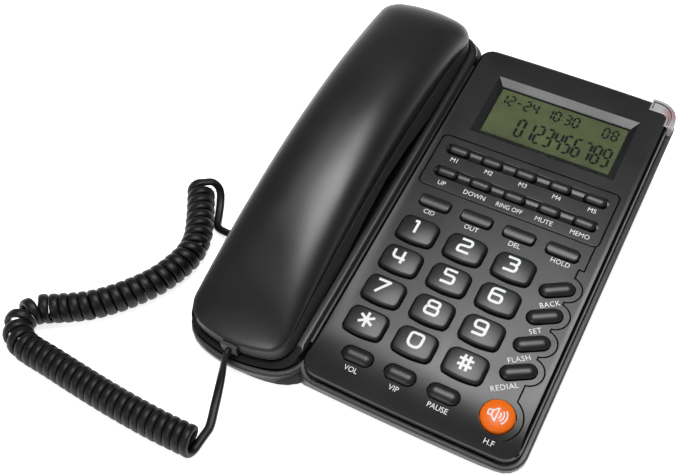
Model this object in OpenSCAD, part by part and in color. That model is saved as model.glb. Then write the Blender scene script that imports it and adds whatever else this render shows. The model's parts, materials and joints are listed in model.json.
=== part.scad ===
// Corded desk telephone with large keys, a caller display and a handset on a curly cord.
// Millimetres. x runs to the right, y to the rear and z up.
// The origin is on the table, under the middle of the base.
// Most pieces are drawn in the panel frame: u to the right from the seam between the cradle and
// the panel, v up the slope from the base's front edge, n out of the panel.

/* [Base] */
// Slope of the key panel, in degrees
tilt = 9.5; // [8:0.5:12]
// Height of the panel plane over the table at the front edge
front_h = 13.4; // [13:0.2:18]
// Width of the key panel, from the seam to the base's right edge
panel_w = 101; // [99:0.5:112]
// Wall of the housing
wall = 2.2; // [1.8:0.1:2.6]
// Thickness of the panel under the keys
plate_t = 3; // [2.6:0.1:3.6]
// Depth of the cover's skirt below the panel plane
skirt_h = 6; // [5.6:0.2:8]
// How far the lower housing's rim stands out past the cover
rim_out = 2.5; // [1.6:0.1:3.5]
// Height of that rim
rim_h = 3.5; // [2.5:0.1:5]
// Radius of the panel's corners in plan
corner_r = 10; // [7:0.5:12]
// How far the housing's walls lean in towards the bottom
draft = 7; // [3:0.5:10]
// Width of the groove between the cradle and the panel
seam_w = 0.8; // [0.4:0.1:1.6]
// Height of the rubber feet
foot_h = 2; // [1:0.5:3]
// Diameter of the rubber feet
foot_d = 11; // [8:0.5:14]

/* [Panel layout] */
// Front edge to the volume row
volume_v = 18; // [16:0.5:24]
// Volume row to the lowest number row
volume_to_num = 15; // [14:0.5:20]
// Pitch of the number rows
num_pitch_v = 17; // [16.5:0.5:20]
// Pitch of the number columns
num_pitch_u = 23; // [21:0.5:24]
// Seam to the middle number column
num_u = 40.5; // [38:0.5:43]
// Highest number row to the caller row
num_to_caller = 17.25; // [15:0.25:22]
// Caller row to the function row
caller_to_function = 18; // [17:0.5:24]
// Function row to the memory row
function_to_memory = 13.6; // [12:0.2:18]
// Memory row to the middle of the display
memory_to_display = 32; // [30:0.5:38]
// Middle of the display to the rear edge
display_to_rear = 36.5; // [35:0.5:44]
// Seam to the first memory key
memory_u = 15.8; // [14:0.2:17]
// Pitch of the memory keys
memory_pitch = 16.7; // [15:0.1:17]
// Seam to the first caller key
caller_u = 18.3; // [16:0.1:19]
// Pitch of the caller keys
caller_pitch = 20.4; // [18:0.1:21]
// Seam to the first volume key
volume_u = 21.3; // [18:0.1:22]
// Pitch of the volume keys
volume_pitch = 19.7; // [18:0.1:20.5]
// Right edge of the base to the slanted side keys
side_from_edge = 16.8; // [15:0.1:18]
// Pitch of the side keys
side_pitch = 14.2; // [13:0.1:15]
// Slant of the side keys, in degrees
side_turn = 30; // [15:1:40]

/* [Keys] */
// Number key, across
number_l = 18; // [16:0.5:19]
// Number key, up the slope
number_w = 13.6; // [12:0.1:14]
// Corner radius of a number key
number_r = 3.8; // [2:0.1:5]
// Memory and function key, length
memory_l = 10.6; // [9:0.1:11]
// Memory and function key, width
memory_w = 5; // [4:0.1:6]
// Caller key, length
caller_l = 14.6; // [12:0.1:15]
// Caller key, width
caller_w = 6; // [5:0.1:7]
// Volume key, length
volume_l = 14; // [12:0.1:15]
// Volume key, width
volume_w = 7; // [6:0.1:8]
// Side key, length
side_l = 15; // [13:0.1:16]
// Side key, width
side_w = 6.6; // [5:0.1:7]
// Hands-free key, diameter
handsfree_d = 14.4; // [12:0.1:16]
// How far the keys stand out of the panel
key_proud = 2; // [1.4:0.1:3]
// Travel of the keys
key_travel = 1.5; // [0.8:0.1:1.8]
// Gap round a key in its hole
key_gap = 0.35; // [0.2:0.05:0.6]
// Lip that holds a key under the panel
key_lip = 0.8; // [0.6:0.1:1]
// Thickness of that lip
key_lip_t = 1; // [0.8:0.1:1.4]

/* [Display] */
// Opening in the panel, across
window_l = 70; // [62:0.5:72]
// Opening in the panel, up the slope
window_w = 35.5; // [32:0.5:37]
// Width of the bevel round the glass
bevel_w = 3.6; // [2.5:0.1:4.5]
// Thickness of the clear window
lens_t = 1.2; // [0.8:0.1:1.6]
// Thickness of the liquid crystal panel
lcd_t = 3; // [2:0.1:4]
// Length of the ring lamp's cover along the rear edge
lamp_l = 14; // [12:0.5:18]
// Breadth of the ring lamp's cover
lamp_w = 8.6; // [7:0.1:10]

/* [Handset] */
// Length of the handset
handset_l = 203; // [190:1:215]
// Width of the handset
handset_w = 48; // [46:0.5:54]
// Front edge of the base to the middle of the handset
handset_v = 100.3; // [97:0.1:106]
// Top of the grip over the panel plane
crown_h = 31; // [26:0.5:34]
// How much lower the ends of the handset are
crown_drop = 19; // [12:0.5:21]
// How far the grip's underside rises over the ends
grip_rise = 10.5; // [6:0.5:12]
// Wall of the handset shells
shell_t = 2.2; // [1.8:0.1:2.6]
// Diameter of the ear pad
ear_d = 40; // [36:0.5:43]
// Drop of the ear pad below the handset's ends
ear_drop = 6.5; // [5:0.5:9]
// Diameter of the mouth pad
mouth_d = 34; // [28:0.5:38]
// Drop of the mouth pad
mouth_drop = 3; // [2:0.2:4]
// Gap between the handset and the cradle's walls
cradle_gap = 1; // [0.6:0.1:1.6]
// Width of the cradle's rails
rail_w = 4; // [3:0.2:6]
// Gap under the handset at rest
seat_gap = 0.3; // [0.2:0.05:0.5]
// Travel of the hook plunger
hook_travel = 4; // [2:0.5:5]

/* [Cord] */
// Diameter of the cord
cord_d = 3.2; // [2.6:0.1:3.4]
// Outer diameter of the curls
coil_d = 14; // [12:0.5:16]
// Gap between two curls on a straight run
curl_gap = 0.7; // [0.7:0.1:1.6]

/* [Hidden] */
$fn = 48;
trough_gap = 0.7;
trough_depth = 1.2;
// Radius of a number key's front edge, and how much more the large keys stand out
number_bow_r = 34;
large_rise = 0.7;
// Where the panel's face starts to roll down to its front edge, and the radius of that roll
roll_v = 21;
roll_r = 125;

// Rows of keys, from the front edge up the slope
num_v = volume_v + volume_to_num;
num_mid_v = num_v + 1.5 * num_pitch_v;
caller_v = num_v + 3 * num_pitch_v + num_to_caller;
function_v = caller_v + caller_to_function;
memory_v = function_v + function_to_memory;
display_v = memory_v + memory_to_display;
panel_l = display_v + display_to_rear;
// The places and lengths across the panel are drawn for a panel of this width
drawn_w = 101;
spread = panel_w / drawn_w;
side_u = panel_w - side_from_edge * spread;
side_v = num_mid_v + 2.9 + 1.5 * side_pitch;

// Blocks of the base in plan: the rims of the panel and of the cradle
panel_cover_l = panel_l - 2 * rim_out;
panel_rim_w = panel_w - seam_w / 2 + rim_out;
panel_u = panel_w - panel_rim_w / 2;
panel_mid_v = panel_l / 2;
end_lip = 2;
recess_w = handset_w + 2 * cradle_gap;
handset_u = -seam_w / 2 - rail_w - recess_w / 2;
left_wall = 1.8;
left_share = 0.2;
left_u = handset_u - recess_w / 2 - left_wall - left_share * rim_out;
cradle_rim_w = rim_out - seam_w / 2 - left_u;
cradle_rim_l = handset_l + 2 * (cradle_gap + end_lip + rim_out);
cradle_u = left_u + cradle_rim_w / 2;
straight_end = 2000;
cradle_end_r = 60;
cradle_corner_r = 17;
handset_end_r = 60;
handset_corner_r = 10.5;
handset_bulge = 0;
half_l = handset_l / 2;

// Levels along the panel's normal
cradle_floor = -(skirt_h - wall);
handset_foot = cradle_floor + seat_gap;
ear_well = handset_foot - ear_drop - seat_gap;
mouth_well = handset_foot - mouth_drop - seat_gap;
rim_round = 0.8;
rim_top = -skirt_h - rim_round;
rim_low = -skirt_h - rim_h;
key_foot = -plate_t - seat_gap - key_lip_t;
mat_t = 1;
board_t = 1.6;
dome_gap = 0.3;
dome_h = 0.9;
board_top = key_foot - key_travel - dome_gap - dome_h - mat_t;

// Place of the panel frame on the table
mid_u = (left_u + panel_w) / 2;
front_v = min(0, handset_v - cradle_rim_l / 2);
rear_v = max(panel_l, handset_v + cradle_rim_l / 2);
front_y = front_v * cos(tilt) - rim_top * sin(tilt);
rear_y = rear_v * cos(tilt) - rim_low * sin(tilt);
origin_y = -(front_y + rear_y) / 2;
floor_z = foot_h + wall;
function table_x(u) = u - mid_u;
function table_y(v, n) = origin_y + v * cos(tilt) - n * sin(tilt);
function table_z(v, n) = front_h + v * sin(tilt) + n * cos(tilt);
function on_table(p) = [table_x(p[0]), table_y(p[1], p[2]), table_z(p[1], p[2])];

// Names of the keys, row by row from the front
NUMBERS = [["key_star", "key_0", "key_hash"], ["key_7", "key_8", "key_9"],
           ["key_4", "key_5", "key_6"], ["key_1", "key_2", "key_3"]];
MEMORIES = ["key_m1", "key_m2", "key_m3", "key_m4", "key_m5"];
FUNCTIONS = ["key_up", "key_down", "key_ring_off", "key_mute", "key_memo"];
CALLERS = ["key_cid", "key_out", "key_del", "key_hold"];
SIDES = ["key_back", "key_set", "key_flash", "key_redial"];
VOLUMES = ["key_vol", "key_vip", "key_pause"];
// Each key: name, kind, u, v and turn
KEYS = concat(
    [for (r = [0:3]) for (c = [0:2])
        [NUMBERS[r][c], "number", (num_u + (c - 1) * num_pitch_u) * spread, num_v + r * num_pitch_v, 0]],
    [for (c = [0:4]) [MEMORIES[c], "memory", (memory_u + c * memory_pitch) * spread, memory_v, 0]],
    [for (c = [0:4]) [FUNCTIONS[c], "memory", (memory_u + c * memory_pitch) * spread, function_v, 0]],
    [for (c = [0:3]) [CALLERS[c], "caller", (caller_u + c * caller_pitch) * spread, caller_v, 0]],
    [for (c = [0:3]) [SIDES[c], "side", side_u, side_v - c * side_pitch, side_turn]],
    [for (c = [0:2]) [VOLUMES[c], "volume", (volume_u + c * volume_pitch) * spread, volume_v, 0]],
    [["key_handsfree", "round", side_u, volume_v + 0.5, 0]]);
PIECES = ["lower_housing", "top_cover", "display_lens", "lcd_panel", "lamp_lens", "ring_lamp",
          "main_board", "key_mat", "loudspeaker", "hook_plunger", "hook_spring", "hook_switch",
          "line_jack", "base_jack", "rubber_feet", "housing_screws", "handset_back",
          "handset_front", "receiver", "microphone", "handset_screws", "handset_plug",
          "handset_lead", "curly_cord", "base_lead", "base_plug"];

// Length, width and corner radius of a kind of key
function key_size(kind) =
    kind == "number" ? [number_l * spread, number_w, number_r] :
    kind == "memory" ? [memory_l * spread, memory_w, memory_w / 2] :
    kind == "caller" ? [caller_l * spread, caller_w, 1.8] :
    kind == "volume" ? [volume_l * spread, volume_w, volume_w / 2] :
    kind == "side" ? [side_l * spread, side_w * spread, side_w * spread / 2] :
    [handsfree_d * spread, handsfree_d * spread, handsfree_d * spread / 2];

// Screws that hold the base together: places in u and v
screw_d = 3;
screw_head_d = 6;
screw_head_h = 2.2;
screw_gap = 0.1;
boss_d = 8.4;
SCREWS = [[8, 8], [panel_w - 8, 8], [8, panel_l - 13], [panel_w - 26, panel_l - 12],
          [handset_u, handset_v - 4]];
function screw_split(s) = min(table_z(s[1], s[0] < 0 ? cradle_floor : 0) - 6.2, 22);

// Outline with rounded ends and corners, from the front's middle anticlockwise; k draws it in.
// re is the radius of the ends and rc that of the corners.
function outline_half(w, l, re, rc, k, bulge) =
    let (a = w / 2 - k, b = l / 2 - k, r = max(rc - k, 0.4), e = re - k,
         yc = b - e + sqrt(pow(e - r, 2) - pow(a - r, 2)),
         phi = atan2(yc - b + e, a - r),
         half = concat(
             [for (i = [0:4]) let (g = -90 + (90 - phi) * i / 5) [e * cos(g), e - b + e * sin(g)]],
             [for (i = [0:5]) let (g = -phi + phi * i / 5) [a - r + r * cos(g), -yc + r * sin(g)]],
             [for (i = [1:7]) [a, -yc + 2 * yc * i / 8]],
             [for (i = [0:5]) let (g = phi * i / 5) [a - r + r * cos(g), yc + r * sin(g)]],
             [for (i = [1:5]) let (g = phi + (90 - phi) * i / 5) [e * cos(g), b - e + e * sin(g)]]))
    [for (p = half) [p[0] + bulge * (p[0] / a) * (1 - pow(p[1] / b, 2)), p[1]]];
function outline(w, l, re, rc, k = 0, bulge = 0) =
    let (h = outline_half(w, l, re, rc, k, bulge), m = len(h))
    concat([[0, h[0][1]]], [for (i = [1:m - 2]) h[i]], [[0, h[m - 1][1]]],
           [for (i = [m - 2:-1:1]) [-h[i][0], h[i][1]]]);
function lifted(ring, u, v, n) = [for (p = ring) [p[0] + u, p[1] + v, n]];
function panel_ring(k, n) =
    lifted(outline(panel_rim_w, panel_l, straight_end, corner_r, k), panel_u, panel_mid_v, n);
// The cradle's left side is drawn in by a share of k only
function cradle_ring(k, n) =
    lifted(outline(cradle_rim_w + k * (1 - left_share), cradle_rim_l, cradle_end_r, cradle_corner_r, k),
           cradle_u - k * (1 - left_share) / 2, handset_v, n);
function handset_ring(k) =
    outline(handset_w, handset_l, handset_end_r, handset_corner_r, k, handset_bulge);

// Faces of a stack of rings, and of the strip that closes a ring across its width
function side_faces(m, c) =
    [for (i = [0:m - 2]) for (j = [0:c - 1])
        let (a = i * c + j, b = i * c + (j + 1) % c)
        each [[a, a + c, b + c], [a, b + c, b]]];
function cap_faces(s, c) = concat(
    [[s, s + c - 1, s + 1], [s + c / 2 - 1, s + c / 2 + 1, s + c / 2]],
    [for (j = [1:c / 2 - 2]) each [[s + j, s + c - j, s + c - j - 1], [s + j, s + c - j - 1, s + j + 1]]]);
function turned(faces) = [for (f = faces) [f[0], f[2], f[1]]];
function moved(faces, s) = [for (f = faces) [f[0] + s, f[1] + s, f[2] + s]];

// Solid through a stack of rings that rise
module stack(rings) {
    c = len(rings[0]);
    m = len(rings);
    polyhedron([for (r = rings) each r],
        concat(side_faces(m, c), cap_faces((m - 1) * c, c), turned(cap_faces(0, c))), convexity = 6);
}

// Shell between an outer and an inner stack that share an open rim at their first rings
module shell(outer, inner, inverted = false) {
    c = len(outer[0]);
    m = len(outer);
    q = len(inner);
    s = m * c;
    rim = [for (j = [0:c - 1]) let (b = (j + 1) % c) each [[j, b, s + b], [j, s + b, s + j]]];
    faces = concat(side_faces(m, c), cap_faces((m - 1) * c, c), rim,
        moved(turned(side_faces(q, c)), s), moved(turned(cap_faces((q - 1) * c, c)), s));
    polyhedron(concat([for (r = outer) each r], [for (r = inner) each r]),
        inverted ? turned(faces) : faces, convexity = 8);
}

module on_panel() {
    translate([-mid_u, origin_y, front_h]) rotate([tilt, 0, 0]) children();
}

module at_handset() {
    on_panel() translate([handset_u, handset_v, 0]) children();
}

module rounded(l, w, r) {
    square([l - 2 * r, w], center = true);
    square([l, w - 2 * r], center = true);
    for (x = [-1, 1]) for (y = [-1, 1]) translate([x * (l / 2 - r), y * (w / 2 - r)]) circle(r);
}

// Trough along a row of small keys, hollowed like a gutter, with round ends
module trough(v) {
    run = 4 * memory_pitch * spread;
    w = memory_w + 2 * trough_gap;
    r = (pow(w / 2, 2) + pow(trough_depth, 2)) / (2 * trough_depth);
    translate([memory_u * spread + run / 2, v, -trough_depth]) intersection() {
        translate([0, 0, -1]) linear_extrude(4) rounded(run + memory_l * spread + 2, w + 1, w / 2 + 0.4);
        translate([0, 0, r]) rotate([0, 90, 0]) cylinder(r = r, h = 2 * run, center = true);
    }
}

// Keys

// A key is its plan, with a lip under the panel and a crowned top
module key_plan(kind, grow = 0) {
    s = key_size(kind);
    // A number key has a bowed front edge
    if (kind == "number") intersection() {
        rounded(s[0] + 2 * grow, s[1] + 2 * grow, s[2] + grow);
        translate([0, number_bow_r - s[1] / 2]) circle(number_bow_r + grow, $fn = 180);
    }
    else if (kind == "caller") rounded(s[0] + 2 * grow, s[1] + 2 * grow, s[2] + grow);
    else if (kind == "round") circle(s[0] / 2 + grow);
    else rounded(s[0] + 2 * grow, s[1] + 2 * grow, s[2] + grow - 0.01);
}

module key_crown(kind) {
    s = key_size(kind);
    if (kind == "number" || kind == "round") {
        r = kind == "number" ? 55 : 22;
        translate([0, 0, key_proud + large_rise - r]) sphere(r, $fn = 96);
    } else {
        r = s[1] * (kind == "caller" ? 1.3 : 0.8);
        run = kind == "caller" ? s[0] : s[0] - s[1];
        translate([0, 0, key_proud - r]) rotate([0, 90, 0]) {
            if (kind == "caller") cylinder(r = r, h = 2 * run, center = true);
            else rotate_extrude() intersection() {
                rounded(2 * r, run + 2 * r, r - 0.01);
                translate([0, -run]) square([2 * r, 2 * run]);
            }
        }
    }
}

module key(kind, u, v, turn) {
    s = key_size(kind);
    paint = kind == "round" ? "darkorange" : "#26272a";
    reach = s[0] + s[1];
    color(paint) on_panel() translate([u, v, 0]) rotate([0, 0, turn]) {
        intersection() {
            translate([0, 0, key_foot]) linear_extrude(key_proud + 2 - key_foot) key_plan(kind);
            union() {
                key_crown(kind);
                translate([-reach / 2, -reach / 2, -20]) cube([reach, reach, 20 - 0.4]);
            }
        }
        translate([0, 0, key_foot]) linear_extrude(key_lip_t) key_plan(kind, key_lip);
    }
}

// Base

front_draft = 0.6;
// Lower housing: two hollow blocks with a rim, leaning walls and a flat bottom
function low_ring(ring_u, ring_w, ring_v, ring_l, re, rc, k, z, lean_left, lean_right) =
    let (w = ring_w - lean_left - lean_right, l = ring_l * cos(tilt) - front_draft - draft,
         u = ring_u + (lean_left - lean_right) / 2,
         y = table_y(ring_v, rim_low) + (front_draft - draft) / 2)
    [for (p = outline(w, l, re, rc, k)) [table_x(u) + p[0], y + p[1], z]];
function panel_low(k, z) = low_ring(panel_u, panel_rim_w, panel_mid_v, panel_l,
    straight_end, corner_r, k, z, -4, draft);
function cradle_low(k, z) = low_ring(cradle_u, cradle_rim_w, handset_v, cradle_rim_l,
    cradle_end_r, cradle_corner_r, k, z, draft, -4);
function raised(ring) = [for (p = ring) on_table(p)];

module housing_blocks(inside) {
    k = inside ? wall : 0;
    z = inside ? floor_z : foot_h;
    top = inside ? [[wall, 2]] : [[0, rim_top], [rim_round, -skirt_h]];
    stack(concat([panel_low(k, z), raised(panel_ring(k, rim_low))],
                 [for (t = top) raised(panel_ring(t[0], t[1]))]));
    stack(concat([cradle_low(k, z), raised(cradle_ring(k, rim_low))],
                 [for (t = top) raised(cradle_ring(t[0], t[1]))]));
}

module at_screws() {
    for (s = SCREWS) translate([table_x(s[0]), table_y(s[1], 0), 0]) {
        $split = screw_split(s);
        children();
    }
}

// Loudspeaker place, under the cradle and facing down
speaker_d = 40;
speaker_h = 11;
speaker_x = table_x(handset_u);
speaker_y = table_y(handset_v + 32, 0);
module speaker_slots() {
    for (i = [-3:3]) let (x = i * 4.2, run = 2 * sqrt(pow(15, 2) - pow(x, 2)))
        translate([speaker_x + x, speaker_y, foot_h - 1]) linear_extrude(wall + 2) rounded(2, run, 0.99);
}

// Jacks: the line socket at the rear and the cord socket at the left
jack_gap = 0.15;
line_w = 9.7;
line_h = 6.7;
line_depth = 11;
line_wall = 1.6;
line_z = 13;
line_x = table_x(panel_w - 48);
line_y = table_y(panel_l, rim_low) - draft + 0.5;
cord_jack_w = 7.9;
cord_jack_h = 6.4;
cord_jack_depth = 11;
cord_jack_z = 8.6;
cord_jack_y = origin_y + 56;
cord_jack_x = table_x(left_u) + draft - 1;

module line_block(grow) {
    w = line_w + 2 * line_wall + 2 * grow;
    h = line_h + 2 * line_wall + 2 * grow;
    translate([line_x - w / 2, line_y - line_depth - line_wall - grow, line_z - h / 2])
        cube([w, line_depth + line_wall + 2 * grow, h]);
}

module cord_jack_block(grow) {
    w = cord_jack_w + 2 * line_wall + 2 * grow;
    h = cord_jack_h + 2 * line_wall + 2 * grow;
    translate([cord_jack_x - grow, cord_jack_y - w / 2, cord_jack_z - h / 2])
        cube([cord_jack_depth + line_wall + 2 * grow, w, h]);
}

// Hook mechanism, on the axis of the ear pad
ear_v = handset_v + handset_l / 2 - 30;
mouth_v = handset_v - handset_l / 2 + 26;
hook_l = 9;
hook_w = 6;
hook_gap = 0.3;
hook_top = ear_well;
hook_plate_t = 2;
hook_plate = ear_well - wall - hook_travel - hook_gap;
hook_arm = 15;
spring_d = 7;
spring_wire = 0.9;
spring_turns = 6;
spring_seat = hook_plate - hook_plate_t - 11;
switch_l = 12;
switch_w = 6.4;
switch_h = 7;
switch_u = handset_u + hook_arm;

module at_hook() {
    on_panel() translate([handset_u, ear_v, 0]) children();
}

module lower_housing() color("#2b2c2f") {
    difference() {
        union() {
            difference() {
                housing_blocks(false);
                housing_blocks(true);
                // The two blocks share one hollow behind the seam
                translate([table_x(-9), table_y(18, 0), floor_z]) cube([18, (panel_l - 36) * cos(tilt), 60]);
            }
            intersection() {
                housing_blocks(false);
                union() {
                    at_screws() translate([0, 0, foot_h]) cylinder(d = boss_d, h = $split - foot_h);
                    // Post and seat of the hook spring
                    at_hook() translate([0, 0, -60]) cylinder(d = spring_d + 3, h = 60 + spring_seat);
                    at_hook() translate([0, 0, -60])
                        cylinder(d = spring_d - 2 * spring_wire - 1, h = 60 + spring_seat + 5);
                    // Shelf of the hook switch
                    on_panel() translate([switch_u - switch_l / 2 - 1, ear_v - switch_w / 2 - 1, -60])
                        cube([switch_l + 2, switch_w + 2, 60 + hook_plate - hook_plate_t - seat_gap - switch_h]);
                    // Ring that the loudspeaker stands in
                    translate([speaker_x, speaker_y, foot_h]) cylinder(d = speaker_d + 5, h = wall + 4);
                    line_block(line_wall);
                    cord_jack_block(line_wall);
                }
            }
        }
        at_screws() {
            translate([0, 0, -1]) cylinder(d = screw_head_d + 0.6, h = $split - 3 + 1);
            cylinder(d = screw_d + 2 * screw_gap, h = 60);
        }
        translate([speaker_x, speaker_y, floor_z]) cylinder(d = speaker_d + 0.6, h = 30);
        speaker_slots();
        line_block(jack_gap);
        translate([line_x, line_y, line_z]) cube([line_w + 2 * line_wall + 2 * jack_gap, 30,
            line_h + 2 * line_wall + 2 * jack_gap], center = true);
        cord_jack_block(jack_gap);
        translate([cord_jack_x - 15, cord_jack_y, cord_jack_z]) cube([30 + 0.4,
            cord_jack_w + 2 * line_wall + 2 * jack_gap, cord_jack_h + 2 * line_wall + 2 * jack_gap], center = true);
    }
}

// Cover: sloping panel with its key holes, and the cradle beside it
shadow_h = 1;
shadow_in = 1;
edge_r = 1.8;
function cover_levels(k) = [[k + shadow_in, -skirt_h], [k + shadow_in, -skirt_h + shadow_h],
    [k, -skirt_h + shadow_h + 0.05], [k, -edge_r], [k + 0.3 * edge_r, -0.4 * edge_r], [k + edge_r, 0]];

module panel_block() stack([for (e = cover_levels(rim_out)) panel_ring(e[0], e[1])]);
module cradle_block() stack([for (e = cover_levels(rim_out)) cradle_ring(e[0], e[1])]);

// What lies above the rolled front of the panel
module front_roll() difference() {
    translate([0, -1, -plate_t]) cube([panel_w + 1, roll_v + 1, plate_t + 1]);
    translate([-1, roll_v, -roll_r]) rotate([0, 90, 0]) cylinder(r = roll_r, h = panel_w + 3, $fn = 180);
}

// Corner of the panel that the ring lamp's cover fills: a leg along the rear and one along the right
lamp_side = 4.8;
lamp_run = lamp_l + 1.5;
lamp_fillet = 3;
module lamp_region(grow) {
    u = panel_w - lamp_side - grow;
    v = panel_l - lamp_w - grow;
    translate([0, 0, -skirt_h]) linear_extrude(skirt_h + 2) {
        translate([panel_w - lamp_l - grow, v]) square([lamp_l + grow + 1, lamp_w + grow + 1]);
        translate([u, panel_l - lamp_run - grow]) square([lamp_side + grow + 1, lamp_run + grow + 1]);
        difference() {
            translate([u - lamp_fillet, v - lamp_fillet]) square(lamp_fillet + 1);
            translate([u - lamp_fillet, v - lamp_fillet]) circle(lamp_fillet);
        }
    }
}

module top_cover() color("#3a3b3e") {
    difference() {
        union() {
            on_panel() {
                difference() {
                    panel_block();
                    stack([panel_ring(rim_out + wall, -skirt_h - 1), panel_ring(rim_out + wall, -plate_t)]);
                }
                cradle_block();
                // Web that joins the two under the seam
                translate([-1.5, 16, -skirt_h]) cube([3, panel_l - 32, skirt_h - 1.6]);
                // Wells for the ear and mouth pads
                translate([handset_u, ear_v, ear_well - wall])
                    cylinder(d = ear_d + 2 * cradle_gap + 2 * wall, h = cradle_floor - ear_well + wall - 0.5);
                translate([handset_u, mouth_v, mouth_well - wall])
                    cylinder(d = mouth_d + 2 * cradle_gap + 2 * wall, h = cradle_floor - mouth_well + wall - 0.5);
                // Columns that hold the main board
                for (p = BOARD_POSTS) translate([p[0], p[1], board_top])
                    cylinder(d = post_d, h = -plate_t - board_top + 0.5);
            }
            intersection() {
                at_screws() translate([0, 0, $split]) cylinder(d = boss_d - 1.4, h = 40);
                on_panel() translate([-100, -20, -60]) cube([220, panel_l + 40, 60 - wall]);
            }
        }
        on_panel() {
            // Recess that the handset lies in, and its sloping front lip
            translate([handset_u, handset_v, cradle_floor])
                linear_extrude(20) polygon(handset_ring(-cradle_gap));
            translate([handset_u, ear_v, ear_well]) cylinder(d = ear_d + 2 * cradle_gap, h = 20);
            translate([handset_u, mouth_v, mouth_well]) cylinder(d = mouth_d + 2 * cradle_gap, h = 20);
            translate([left_u - 5, handset_v - handset_l / 2, cradle_floor]) rotate([16, 0, 0])
                translate([0, -40, 0]) cube([5 - left_u - 0.1, 60, 20]);
            // Slot of the hook plunger
            translate([handset_u, ear_v, ear_well - 10])
                linear_extrude(20) square([hook_l + 2 * hook_gap, hook_w + 2 * hook_gap], center = true);
            // Key holes and the troughs of the small keys
            for (k = KEYS) translate([k[2], k[3], -plate_t - 1]) rotate([0, 0, k[4]])
                linear_extrude(plate_t + 2) key_plan(k[1], key_gap);
            trough(memory_v);
            trough(function_v);
            display_opening();
            lamp_region(jack_gap);
            panel_groove();
            front_roll();
        }
        at_screws() translate([0, 0, $split - 1]) cylinder(d = screw_d + 2 * screw_gap, h = 5.6);
    }
}

post_d = 3.4;
BOARD_POSTS = [for (u = [5.6 * spread, panel_w - 7.4]) for (v = [30, 75.5, 110.5]) [u, v]];

// Bevelled opening of the display
module display_opening() {
    l = window_l - 2 * bevel_w;
    w = window_w - 2 * bevel_w;
    translate([panel_w / 2, display_v, 0]) hull() {
        translate([0, 0, 0.5]) cube([window_l + 1, window_w + 1, 1], center = true);
        translate([0, 0, -plate_t - 0.5]) cube([l, w, 1], center = true);
    }
}

// Thin grooves: a frame round the two rows of small keys, and from it a line that runs
// in scallops round the side keys and the hands-free key
groove_w = 0.6;
groove_depth = 0.5;
scallop = 2.9;
valley_u = side_u + 4.4 * spread;
frame_l = panel_w - 13.3;
frame_w = function_to_memory + 17.4;
frame_u = panel_w / 2 - 1.7;
frame_v = (function_v + memory_v) / 2 - 1.3;
turn_v = side_v + 13;
module scallops(grow) {
    end = (side_l - side_w) * spread / 2;
    translate([side_u, volume_v]) square([valley_u - side_u + grow, turn_v - volume_v]);
    for (k = KEYS) if (k[1] == "side")
        translate([k[2] + end * cos(side_turn), k[3] + end * sin(side_turn)]) circle(side_w * spread / 2 + scallop + grow);
    translate([side_u, volume_v + 0.5]) circle(handsfree_d * spread / 2 + scallop + grow);
}

module panel_groove() {
    translate([0, 0, -groove_depth]) linear_extrude(2) {
        translate([frame_u, frame_v]) difference() {
            rounded(frame_l, frame_w, 3);
            rounded(frame_l - 2 * groove_w, frame_w - 2 * groove_w, 3 - groove_w);
        }
        intersection() {
            difference() {
                scallops(groove_w);
                scallops(0);
            }
            translate([side_u, 0]) square([panel_w - side_u, turn_v]);
        }
        translate([valley_u, turn_v]) square([3 * spread, groove_w]);
        translate([valley_u + 3 * spread - groove_w, turn_v])
            square([groove_w, frame_v - frame_w / 2 + groove_w / 2 - turn_v]);
    }
}

module display_lens() color([0.6, 0.65, 0.6, 0.4]) on_panel()
    translate([panel_w / 2, display_v, -plate_t - lens_t])
        linear_extrude(lens_t) rounded(window_l - 2 * bevel_w + 4, window_w - 2 * bevel_w + 4, 1);

module lcd_panel() color("#7d8560") on_panel()
    translate([panel_w / 2, display_v, -plate_t - lens_t - lcd_t])
        linear_extrude(lcd_t) rounded(window_l - 2 * bevel_w + 3, window_w - 2 * bevel_w + 3, 0.6);

lamp_d = 3;
lamp_in = 0.3;
lamp_u = panel_w - 3.7;
lamp_v = panel_l - 7.4;
module lamp_lens() color([0.9, 0.9, 0.92, 0.5]) on_panel() difference() {
    intersection() {
        stack([panel_ring(rim_round, -skirt_h), panel_ring(lamp_in, -skirt_h + 1), panel_ring(lamp_in, -edge_r),
               panel_ring(lamp_in + 0.5, -0.6), panel_ring(lamp_in + edge_r, -0.05)]);
        lamp_region(0);
    }
    translate([lamp_u, lamp_v, -skirt_h - 1]) cylinder(d = lamp_d + 0.6, h = skirt_h - 1.4);
}

module ring_lamp() color("firebrick") on_panel() translate([lamp_u, lamp_v, -skirt_h]) {
    cylinder(d = lamp_d, h = skirt_h - 2.4 - lamp_d / 2);
    intersection() {
        translate([0, 0, skirt_h - 2.4 - lamp_d / 2]) sphere(d = lamp_d);
        cylinder(d = 2 * lamp_d, h = skirt_h);
    }
}

// Electronics

board_margin = 3.6;
board_front = volume_v - 5;
module main_board() color("darkgreen") on_panel() translate([board_margin, board_front, board_top - board_t])
    cube([panel_w - 2 * board_margin - 1.8, memory_v + 9 - board_front, board_t]);

module key_mat() color("#b8bcc0") on_panel() {
    translate([9 * spread, board_front + 0.4, board_top])
        cube([(drawn_w - 20) * spread, memory_v + 8 - board_front, mat_t]);
    for (k = KEYS) translate([k[2], k[3], board_top + mat_t - 0.2])
        cylinder(d1 = 4.6, d2 = 3.6, h = dome_h + 0.2);
}

module loudspeaker() color("#55585c") translate([speaker_x, speaker_y, floor_z]) rotate_extrude()
    polygon([[0, 3], [speaker_d / 2 - 4, 1], [speaker_d / 2 - 2, 1.2], [speaker_d / 2 - 1.6, 0],
             [speaker_d / 2, 0], [speaker_d / 2, 2], [11, 5], [11, speaker_h], [0, speaker_h]]);

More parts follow.
